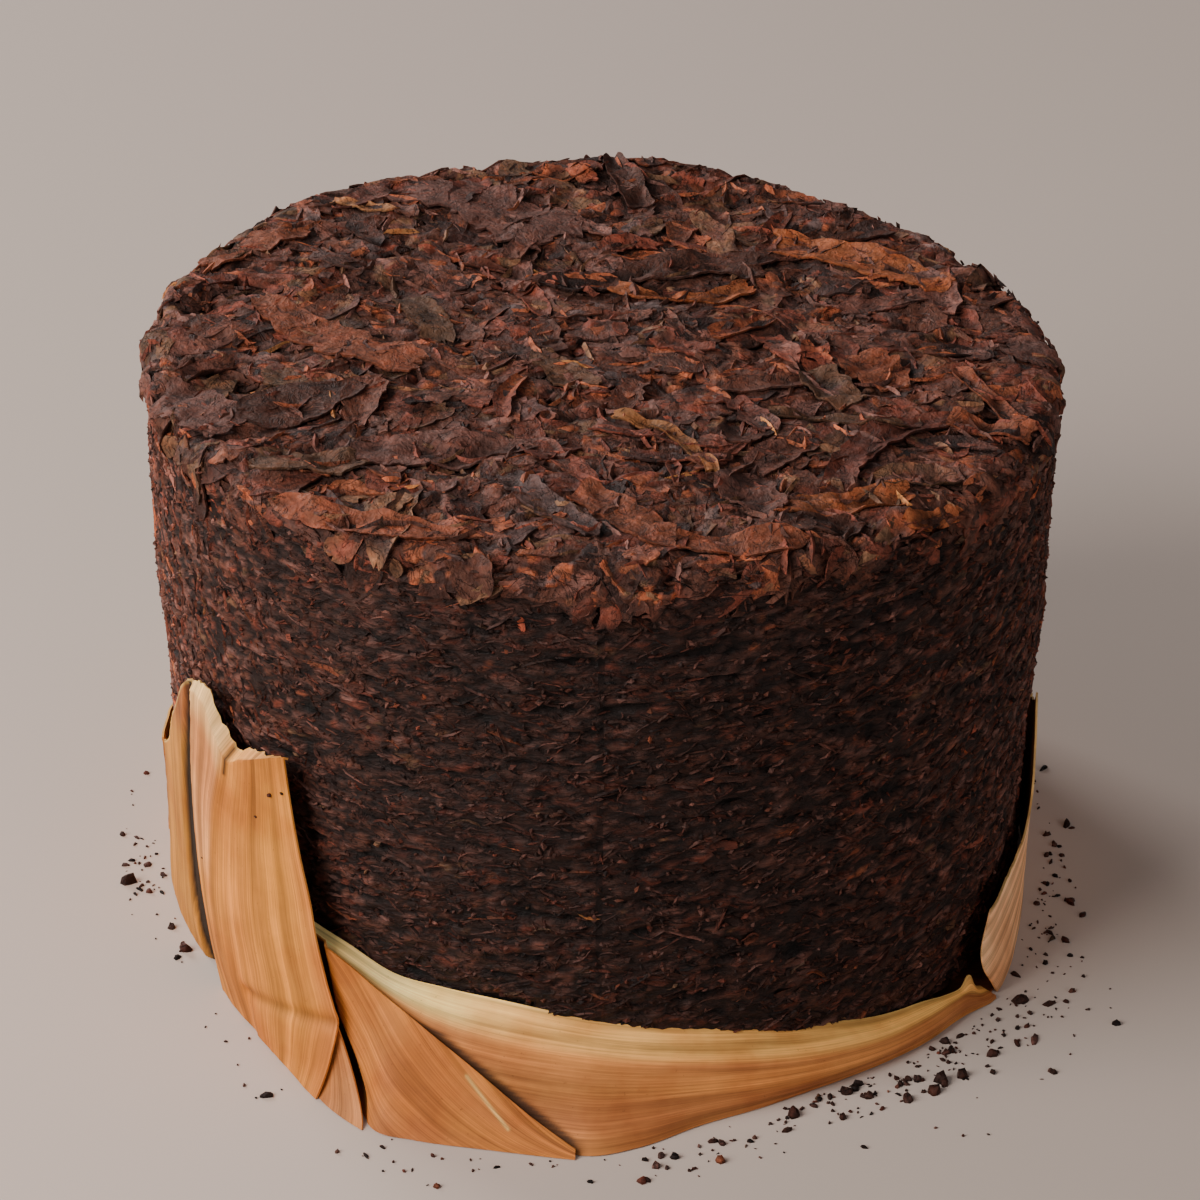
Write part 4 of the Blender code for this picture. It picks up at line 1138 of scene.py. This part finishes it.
def set_surface(tree, shader, colour, roughness, height, strength, distance, sheen):
    """Joins colour, roughness and bumps to the shader, and sets how much it shines."""
    bump = add(tree, "Bump", {"Height": height, "Strength": strength, "Distance": distance})
    tree.links.new(colour, shader.inputs["Base Color"])
    tree.links.new(roughness, shader.inputs["Roughness"])
    tree.links.new(bump.outputs["Normal"], shader.inputs["Normal"])
    shader.inputs["Specular IOR Level"].default_value = sheen


# Metres of pattern for each millimetre along a strand, across it, and from strand to strand
STREAKS = (0.0008, 0.0019, 0.001)


def tea_material(name, contrast, streaky=False):
    """Dry dark leaf: granular, crumpled and mottled brown, with thin cracks painted dark as their shade.
    """
    finish, tree, shader = new_material(name)
    tint, grain, place = sources_of(tree)
    if streaky:
        place = add(tree, "Mapping", {"Vector": grain, "Scale": STREAKS}).outputs["Vector"]
    long = add(tree, "Mapping", {"Vector": grain, "Scale": (0.3, 1.1, 1.0)}).outputs["Vector"]
    # Numbers of a noise: scale, detail, roughness and distortion
    granule = noise_of(tree, place, 780, 4, 0.65, 0.4)
    mottle = noise_of(tree, place, 330, 5, 0.6, 0.6)
    crumple = noise_of(tree, place, 150, 3, 0.55, 0.8)
    vein = noise_of(tree, long, 1.0, 4, 0.6, 0.4)
    hue = noise_of(tree, place, 260, 4, 0.6, 0.5)
    fleck = noise_of(tree, place, 620, 3, 0.6, 0.4)
    crack = lines_of(tree, noise_of(tree, place, 130, 4, 0.6, 1.6), 0.018)

    def around(value, amount):
        return spread_of(tree, value, 0.3, 0.7, 1 - amount * contrast, 1 + amount * contrast)

    # Mottling on the same noises as the bumps: partly the leaf's own tone, partly painted shade in its
    # hollows
    shade = around(mottle, 0.36)
    for value, amount in ((granule, 0.32), (vein, 0.25), (crumple, 0.25)):
        shade = times(tree, shade, around(value, amount))
    # Painted shade in the thin cracks
    shade = times(tree, shade, spread_of(tree, crack, 0.0, 1.0, 1.0, 1 - 0.65 * contrast))
    colour = scaled(tree, tint, shade)
    for filter_colour, value, low, high, share in (((1.18, 0.98, 0.88), hue, 0.48, 0.62, 1.0),
                                                   ((0.88, 0.97, 1.02), hue, 0.52, 0.38, 1.0),
                                                   ((1.5, 1.4, 1.3), fleck, 0.57, 0.67, 0.7)):
        share = spread_of(tree, value, low, high, 0.0, share * contrast)
        colour = tinted(tree, colour, filter_colour, share)
    height = times(tree, granule, 0.6)
    for value, amount in ((vein, 0.3), (mottle, 0.9), (crumple, 1.6), (crack, -0.35)):
        height = plus(tree, height, times(tree, value, amount))
    set_surface(tree, shader, colour, spread_of(tree, mottle, 0.3, 0.7, 0.8, 0.55), height,
                strength=0.9, distance=0.001, sheen=0.22)
    return finish


def husk_material():
    """Dry husk: fine fibres along the grain, broader streaks, stains and a few dark pores."""
    finish, tree, shader = new_material("bamboo_husk")
    tint, grain, place = sources_of(tree)
    fine = add(tree, "Mapping", {"Vector": grain, "Scale": (0.03, 2.4, 1.0)}).outputs["Vector"]
    broad = add(tree, "Mapping", {"Vector": grain, "Scale": (0.012, 0.35, 1.0)}).outputs["Vector"]
    fibre = noise_of(tree, fine, 1.0, 4, 0.6)
    streak = noise_of(tree, broad, 1.0, 3, 0.5)
    stain = noise_of(tree, place, 45, 4, 0.6)
    pore = noise_of(tree, place, 1300, 2, 0.5)
    shade = times(tree, spread_of(tree, fibre, 0.3, 0.7, 0.66, 1.24),
                  spread_of(tree, streak, 0.3, 0.7, 0.56, 1.36))
    shade = times(tree, shade, spread_of(tree, stain, 0.35, 0.7, 0.72, 1.16))
    shade = times(tree, shade, spread_of(tree, pore, 0.7, 0.76, 1.0, 0.7))
    colour = scaled(tree, tint, shade)
    colour = tinted(tree, colour, (1.05, 0.9, 0.8), spread_of(tree, stain, 0.55, 0.4, 0.0, 0.8))
    height = plus(tree, times(tree, fibre, 0.5), times(tree, streak, 0.8))
    set_surface(tree, shader, colour, spread_of(tree, streak, 0.3, 0.7, 0.7, 0.55), height,
                strength=0.5, distance=0.0004, sheen=0.25)
    return finish


def unit_grid(columns, rows):
    """Shares from 0 to 1 along and up a sheet, at each point of a grid."""
    return np.meshgrid(np.linspace(0, 1, columns), np.linspace(0, 1, rows), indexing="ij")


def grid_normals(grid):
    """Unit normals of a grid of points, pointing away from the column's axis."""
    normal = np.cross(np.gradient(grid, axis=0), np.gradient(grid, axis=1))
    normal /= np.linalg.norm(normal, axis=-1, keepdims=True)
    middle = grid[grid.shape[0] // 2, 0] * (1, 1, 0)
    return normal if np.dot(normal[grid.shape[0] // 2, 0], middle) > 0 else -normal


def grid_lengths(grid):
    """Lengths in millimetres along the two ways of a grid, from its first corner."""
    first = np.linalg.norm(np.diff(grid, axis=0), axis=-1).mean(1)
    second = np.linalg.norm(np.diff(grid, axis=1), axis=-1).mean(0)
    u = np.concatenate([[0], np.cumsum(first)])[:, None] + np.zeros(grid.shape[:2])
    v = np.concatenate([[0], np.cumsum(second)])[None, :] + np.zeros(grid.shape[:2])
    return u, v


def husk_piece(name, grid, tint, finish, seed, grain_turn, ripple, edge="cream"):
    """Thin closed sheet on a grid of outer points, rippled along its grain."""
    u, v = grid_lengths(grid)
    turn = math.radians(grain_turn)
    along = u * math.cos(turn) + v * math.sin(turn)
    across = v * math.cos(turn) - u * math.sin(turn)
    wave = ripple * (0.6 * rough(along / 45, across / 3.2, seed)
                     + 0.4 * rough(along / 16, across / 9, seed + 7))
    normal = grid_normals(grid)
    outer = grid + normal * wave[..., None]
    inner = outer - normal * HUSK_THICKNESS * SKIN_SHARE
    for face in (outer, inner):
        face[..., 2] = np.maximum(face[..., 2], HUSK_FOOT)
    points = np.stack([outer, inner])
    grain = np.stack([along, across, np.full_like(along, seed)], -1)
    tint[:, -1] = tint[:, -1] * 0.5 + HUSK[edge] * 0.5
    colours = np.stack([tint, tint * 0.4 + HUSK["pale"] * 0.6])
    mesh = mesh_of(name, points, sheet_quads(grid.shape[0] - 1, grid.shape[1] - 1), colours,
                   np.stack([grain, grain]), sharp_angle=60)
    add_piece(name + "_skin", mesh, finish, name)


def blend(low, high, share):
    """Colour between two, by a share for each point."""
    return low + (high - low) * np.clip(share, 0, 1)[..., None]


def fray(grid, amount, seed):
    """Tears the last edge of a grid: its points move up or down along the sheet."""
    u, _ = grid_lengths(grid)
    way = grid[:, -1] - grid[:, -2]
    way = way / np.linalg.norm(way, axis=-1, keepdims=True)
    shift = amount * rough(u[:, 0] / 1.8, 0 * u[:, 0], seed)
    for row in range(FRAY_ROWS):
        grid[:, -1 - row] += way * (shift * (1 - row / FRAY_ROWS))[:, None]
    return grid


def flap_wall(share, height):
    """Angle and radius of the flap at a share of its width and a height."""
    gap_a, gap_r, fold_a, fold_r, edge_a, edge_r = curves(FLAP_ROWS, height)
    near = np.clip(share / FLAP_FOLD_AT, 0, 1)
    far = np.clip((share - FLAP_FOLD_AT) / (1 - FLAP_FOLD_AT), 0, 1)
    angle = gap_a + (fold_a - gap_a) * near + (edge_a - fold_a) * far
    radius = gap_r + (fold_r - gap_r) * near + (edge_r - fold_r) * far
    sag = FLAP_FOOT_SAG * np.clip(1 - height / FLAP_SAG_HEIGHT, 0, 1)
    return angle, radius - sag * 4 * far * (1 - far)


def flap_skin(finish):
    share = np.concatenate([np.linspace(0, 0.1, 17), np.linspace(0.1, 1, 55)[1:]])
    fold, lip, lip_r = curves(FLAP_TOP, share)
    rows, heights = [], []
    for step in np.linspace(0, 1, FLAP_WALL_ROWS):
        height = HUSK_FOOT + (fold - HUSK_FOOT) * step
        angle, radius = flap_wall(share, height)
        radius = radius + flap_creases(share, height) - FLAP_GAP_DEPTH * in_gap(share, height)
        rows.append(ring_points(angle, radius, height))
        heights.append(height)
    for part in np.linspace(0, 1, FLAP_LIP_ROWS + 1)[1:]:
        rows.append(ring_points(angle, radius + (lip_r - radius) * part, fold + (lip - fold) * part))
        heights.append(height)
    grid = fray(np.stack(rows, 1), amount=0.9, seed=21)
    grid = fray(grid, amount=1.4 * at_tip(share), seed=29)
    height, across = np.stack(heights, 1), share[:, None] + np.zeros(len(heights))
    u, v = grid_lengths(grid)
    tint = blend(HUSK["tan"], HUSK["warm"], 0.5 + 0.8 * rough(u / 9, v / 60, 3))
    tint = blend(tint, HUSK["brown"], 0.5 * ease((across - 0.86) / 0.12) * ease((64 - height) / 20))
    # The near face, between the gap and the fold, is painted pink: partly its own tone, partly painted
    # shade where it turns away
    upper = ease((height - 26) / 14)
    tint = blend(tint, HUSK["pink_and_shade"], ease((FLAP_FOLD_AT - 0.01 - across) / 0.025) * upper)
    # Painted highlight along the ridge of the fold
    tint *= 1 + (0.16 * peak(across - FLAP_FOLD_AT, 0.01, 0.014) * upper)[..., None]
    tint = blend(tint, HUSK["tip"], 0.6 * (ease((height - fold[:, None] + 8) / 8) * at_tip(across)))
    # Below the bend the flared foot is painted lighter: painted light
    below = ease((crease_height(across) - height) / 2.0) * beyond_bend(across)
    tint *= 1 + 0.14 * below[..., None]
    # Painted shade along the bend across the foot
    crease_shade = peak(height, crease_height(across), 1.1) * beyond_bend(across)
    tint *= 1 - 0.32 * crease_shade[..., None]
    tint[:, FLAP_WALL_ROWS:] = blend(HUSK["pale"], HUSK["tip"], at_tip(across[:, FLAP_WALL_ROWS:]))
    # Dark notch in the top fold: painted shade
    notch = peak(across, FLAP_NOTCH, 0.016) * (np.arange(len(heights)) >= FLAP_WALL_ROWS - 6)
    tint *= 1 - 0.9 * notch[..., None]
    # The gap along the near edge is painted nearly black: painted shade
    tint *= 1 - 0.98 * in_gap(across, height)[..., None]
    husk_piece("husk_flap", grid, tint, finish, seed=11, grain_turn=90, ripple=0.35)


def at_tip(share):
    """Share from 0 to 1 of how far a place across the flap belongs to its pale tip."""
    return ease((FLAP_TIP_END - share) / 0.1)


def beyond_bend(share):
    """Share from 0 to 1 of how far a place across the flap lies on its bent right part."""
    return ease((share - FLAP_BEND_FROM) / 0.06)


def in_gap(share, height):
    """Share from 0 to 1 of how far a place on the flap lies in the gap along its near edge."""
    return ease((curve(FLAP_GAP, height) - share) / 0.012)


def crease_height(share):
    """Height of the bend across the flap's foot, at a share of the flap's width."""
    return FLAP_BEND_START + FLAP_BEND_CLIMB * (share - 0.5)


def flap_creases(share, height):
    """How far the flap stands out at the bend over its foot and at the short crease under it."""
    bend = -0.7 * peak(height, crease_height(share), 1.6) * beyond_bend(share)
    flare = 0.8 * ease((crease_height(share) - height) / 8.0) * beyond_bend(share)
    short = -0.6 * peak(share, 0.47, 0.025) * ease((13.0 - height) / 4.0)
    swell = 0.7 * peak(share, 0.62, 0.16) * peak(height, 34, 13)
    return bend + flare + short + swell


def rounded(profile, passes):
    """Rows of points with the corners between them worn round."""
    rows = np.stack(profile)
    for _ in range(passes):
        rows[1:-1] = (rows[:-2] + 2 * rows[1:-1] + rows[2:]) / 4
    return rows


def band_skin(finish):
    angle = np.linspace(BAND_STATIONS[0][0], BAND_STATIONS[-1][0], 300)
    lip, crease_r, crease_z, belly_r, belly_z, foot_r = curves(BAND_STATIONS, angle)
    corners = ((foot_r, 0 * angle + HUSK_FOOT), (belly_r, belly_z), (crease_r, crease_z),
               (curve(BAND_LIP_RADIUS, angle), lip))
    profile = []
    for (r0, z0), (r1, z1), cells in zip(corners, corners[1:], BAND_CELLS):
        profile += [ring_points(angle, r0 + (r1 - r0) * k / cells, z0 + (z1 - z0) * k / cells)
                    for k in range(cells)]
    profile.append(ring_points(angle, *corners[-1]))
    grid = rounded(profile, passes=3).transpose(1, 0, 2)
    u, v = grid_lengths(grid)
    row = np.arange(grid.shape[1])[None, :] + 0 * u
    tint = blend(HUSK["sand"], HUSK["clay"], 0.4 + 0.9 * rough(u / 60, v / 5, 5)) * BAND_GAIN
    # The lip is painted pale, cream and at its left end white: partly the husk's pale edge, partly painted
    # light on the lip
    tint = blend(tint, HUSK["pale"], ease((row - LIP_ROW + 1) / 3))
    on_lip = ease((row - LIP_ROW) / 3)
    tint = blend(tint, HUSK["cream"], on_lip * (0.15 + 0.85 * ease((-8 - angle) / 16)[:, None]))
    tint = blend(tint, HUSK["white_and_highlight"], on_lip * ease((-20 - angle) / 8)[:, None])
    # Painted shadow of the triangle on the band
    covered = curves(TRIANGLE_STATIONS, angle)[0][:, None] + TRIANGLE_SHADOW_WIDTH - grid[..., 2]
    triangle_shadow = ease(covered / TRIANGLE_SHADOW_WIDTH) * ease((-1.0 - angle) / 2)[:, None] * (row < LIP_ROW - 1)
    tint *= 1 - 0.8 * triangle_shadow[..., None]
    husk_piece("husk_band", grid, tint, finish, seed=12, grain_turn=0, ripple=0.35)


def scratched(angle, height):
    """Share from 0 to 1 of how much a place on the triangle lies on its scratch."""
    (x0, y0), (x1, y1) = ((turn * SCRATCH_SCALE, high) for turn, high in SCRATCH)
    x, y = angle * SCRATCH_SCALE - x0, height - y0
    way = np.array([x1 - x0, y1 - y0])
    share = np.clip((x * way[0] + y * way[1]) / (way @ way), 0, 1)
    return peak(np.hypot(x - share * way[0], y - share * way[1]), 0, SCRATCH_WIDTH)


def triangle_skin(finish):
    share, up = unit_grid(140, 50)
    start = TRIANGLE_FOOT_START + (TRIANGLE_STATIONS[0][0] - TRIANGLE_FOOT_START) * up
    angle = start + (TRIANGLE_STATIONS[-1][0] - start) * share
    top, top_r, foot_r = curves(TRIANGLE_STATIONS, angle)
    height = HUSK_FOOT + (top - HUSK_FOOT) * up
    inside = ease((curve(TRIANGLE_GAP, height) - angle + TRIANGLE_GAP_WIDTH) / TRIANGLE_GAP_WIDTH)
    inside = inside * ease((height + 3) / 9)
    grid = ring_points(angle, foot_r + (top_r - foot_r) * up - TRIANGLE_GAP_DEPTH * inside, height)
    u, v = grid_lengths(grid)
    tint = blend(HUSK["warm"], HUSK["brown"], 0.5 + 0.9 * rough(u / 30, v / 6, 6))
    tint = blend(tint, HUSK["cream"], 0.5 * scratched(angle, height))
    # The gap beside the flap and the tuck is painted nearly black: painted shade
    tint *= (1 - 0.93 * inside)[..., None]
    husk_piece("husk_triangle", grid, tint, finish, seed=13, grain_turn=-28, ripple=0.25,
               edge="warm")


def tuck_skin(finish):
    share, up = unit_grid(24, 24)
    start = TUCK_START[0] + (TUCK_START[1] - TUCK_START[0]) * up
    end = TUCK_END[0] + (TUCK_END[1] - TUCK_END[0]) * up
    angle = start + (end - start) * share
    foot_r = curve(TUCK_FOOT, angle)
    grid = ring_points(angle, foot_r + (TUCK_HEAD_RADIUS - foot_r) * up ** TUCK_HOLLOW,
                       HUSK_FOOT + (TUCK_TOP - HUSK_FOOT) * up)
    u, v = grid_lengths(grid)
    tint = blend(HUSK["sand"], HUSK["clay"], 0.4 + 0.8 * rough(u / 8, v / 8, 7))
    husk_piece("husk_tuck", grid, tint, finish, seed=14, grain_turn=90, ripple=0.1)


def strip_skin(finish):
    angle, up = np.meshgrid(np.linspace(STRIP_STATIONS[0][0], STRIP_STATIONS[-1][0], 76),
                            np.linspace(0, 1, 60), indexing="ij")
    top, wall_r = curves(STRIP_STATIONS, angle)
    height = HUSK_FOOT + (top - HUSK_FOOT) * up
    radius = STRIP_FOOT_RADIUS + (wall_r - STRIP_FOOT_RADIUS) * ease(height / WALL_FOOT_HEIGHT)
    flap_edge, _ = flap_wall(0.0, height)
    inside = ease((angle - flap_edge + curve(STRIP_GROOVE, height)) / STRIP_GROOVE_SLOPE)
    grid = fray(ring_points(angle, radius - STRIP_GROOVE_DEPTH * inside, height), amount=0.6, seed=22)
    u, v = grid_lengths(grid)
    tint = blend(HUSK["tan"], HUSK["brown"], ease((height - 52) / 10) + 0.3 * rough(u / 8, v / 40, 8))
    # The strip is painted at 0.85 of its colour, and nearly black in the groove under the flap's edge as
    # painted shade
    tint *= (0.85 - 0.82 * inside)[..., None]
    husk_piece("husk_strip", grid, tint, finish, seed=15, grain_turn=90, ripple=0.15)


def wall_skin(name, stations, finish, columns, seed, foot_height, edge=None,
              tones=("tan", "brown"), ripple=0.3):
    """Sheet standing round the foot of the column, with an uneven top and a slight flare."""
    share, up = unit_grid(columns, 34)
    start = stations[0][0]
    angle = start + (stations[-1][0] - start) * share
    top, wall_r, foot_r = curves(stations, angle)
    height = HUSK_FOOT + (top - HUSK_FOOT) * up
    radius = foot_r + (wall_r - foot_r) * ease(height / foot_height) + WALL_FLARE * up ** 4
    if edge:
        angle = angle + (curve(edge, height) - start) * np.exp((start - angle) / CORNER_FADE)
    grid = fray(ring_points(angle, radius, height), amount=1.0, seed=seed + 20)
    u, v = grid_lengths(grid)
    mottle = 0.4 + 0.8 * rough(u / 50, v / 18, seed)
    tint = blend(HUSK[tones[0]], HUSK[tones[1]], mottle)
    tan = blend(HUSK["tan"], HUSK["brown"], mottle)
    tint = blend(tint, tan, ease((angle - WALL_TAN_FROM) / WALL_TAN_FADE))
    husk_piece(name, grid, tint, finish, seed, grain_turn=4, ripple=ripple)


def base_skin(finish):
    angle = np.linspace(-180, 180, BASE_STEPS, endpoint=False)
    radius = curve(BASE_OUTLINE, angle)
    share = np.linspace(0, 1, BASE_RINGS)[:, None]
    grid = ring_points(angle + 0 * share, radius * (1 - share * 0.999), 0.8 + 0 * share * angle)
    grid = grid.transpose(1, 0, 2)
    low = grid * (1, 1, 0)
    points = np.concatenate([grid.reshape(-1, 3), low.reshape(-1, 3)])
    faces = grid_quads(BASE_STEPS, BASE_RINGS - 1, True)
    rim = np.arange(BASE_STEPS) * BASE_RINGS
    there, under = np.roll(rim, -1), BASE_STEPS * BASE_RINGS
    edge = np.stack([rim, there, there + under, rim + under], -1)
    tint = np.tile(HUSK["brown"], (len(points), 1))
    # The upper face is painted dark brown: painted shade in the hollows where the base shows between the
    # sheets
    tint[:under] = HUSK["dark"]
    mesh = mesh_of("husk_base", points, np.concatenate([faces, faces[:, ::-1] + under, edge]), tint,
                   points, sharp_angle=60)
    add_piece("husk_base_skin", mesh, finish, "husk_base")


def husk_pieces(finish):
    base_skin(finish)
    band_skin(finish)
    triangle_skin(finish)
    flap_skin(finish)
    tuck_skin(finish)
    strip_skin(finish)
    wall_skin("husk_right", RIGHT_STATIONS, finish, columns=150, seed=16,
              foot_height=RIGHT_FOOT_HEIGHT, edge=CORNER_EDGE, tones=("blush", "rose"), ripple=0.12)
    wall_skin("husk_left", LEFT_STATIONS, finish, columns=90, seed=17, foot_height=WALL_FOOT_HEIGHT)


def add_camera():
    lens = bpy.data.cameras.new("camera")
    lens.lens, lens.sensor_width = LENS, SENSOR
    camera = bpy.data.objects.new("camera", lens)
    bpy.context.scene.collection.objects.link(camera)
    tilt = math.radians(90 - CAMERA_PITCH)
    aim = Quaternion((1, 0, 0), tilt) @ Quaternion((0, 0, 1), math.radians(CAMERA_ROLL))
    camera.rotation_mode = "QUATERNION"
    camera.rotation_quaternion = aim
    camera.location = Vector(CAMERA_TARGET) + aim @ Vector((0, 0, CAMERA_DISTANCE))
    bpy.context.scene.camera = camera


def add_area_light(name, place, aim_at, size, power, colour):
    light = bpy.data.lights.new(name, "AREA")
    light.shape, light.size, light.energy, light.color = "SQUARE", size, power, colour
    item = bpy.data.objects.new(name, light)
    bpy.context.scene.collection.objects.link(item)
    item.location = place
    item.rotation_mode = "QUATERNION"
    item.rotation_quaternion = (Vector(aim_at) - Vector(place)).to_track_quat("-Z", "Y")


def add_stage():
    bpy.ops.mesh.primitive_plane_add(size=12, location=(0, 2, 0))
    floor = bpy.context.object
    floor.name = "floor"
    finish, _, shader = new_material("floor")
    shader.inputs["Base Color"].default_value = (*linear(190, 172, 161), 1)
    shader.inputs["Roughness"].default_value = 0.9
    floor.data.materials.append(finish)
    world = bpy.data.worlds.new("world")
    bpy.context.scene.world = world
    world.use_nodes = True
    background = world.node_tree.nodes["Background"]
    background.inputs["Color"].default_value = (0.94, 0.96, 1.0, 1)
    background.inputs["Strength"].default_value = 0.17
    for light in LIGHTS:
        add_area_light(*light)


def build():
    rng = np.random.default_rng(7)
    tea, husk = tea_material("pressed_tea", contrast=0.85), husk_material()
    side_pieces(rng, tea_material("side_tea", contrast=0.85, streaky=True))
    top_pieces(rng, tea, tea_material("smooth_leaf", contrast=0.7))
    crumbs(rng, tea)
    husk_pieces(husk)
    add_stage()
    add_camera()


build()
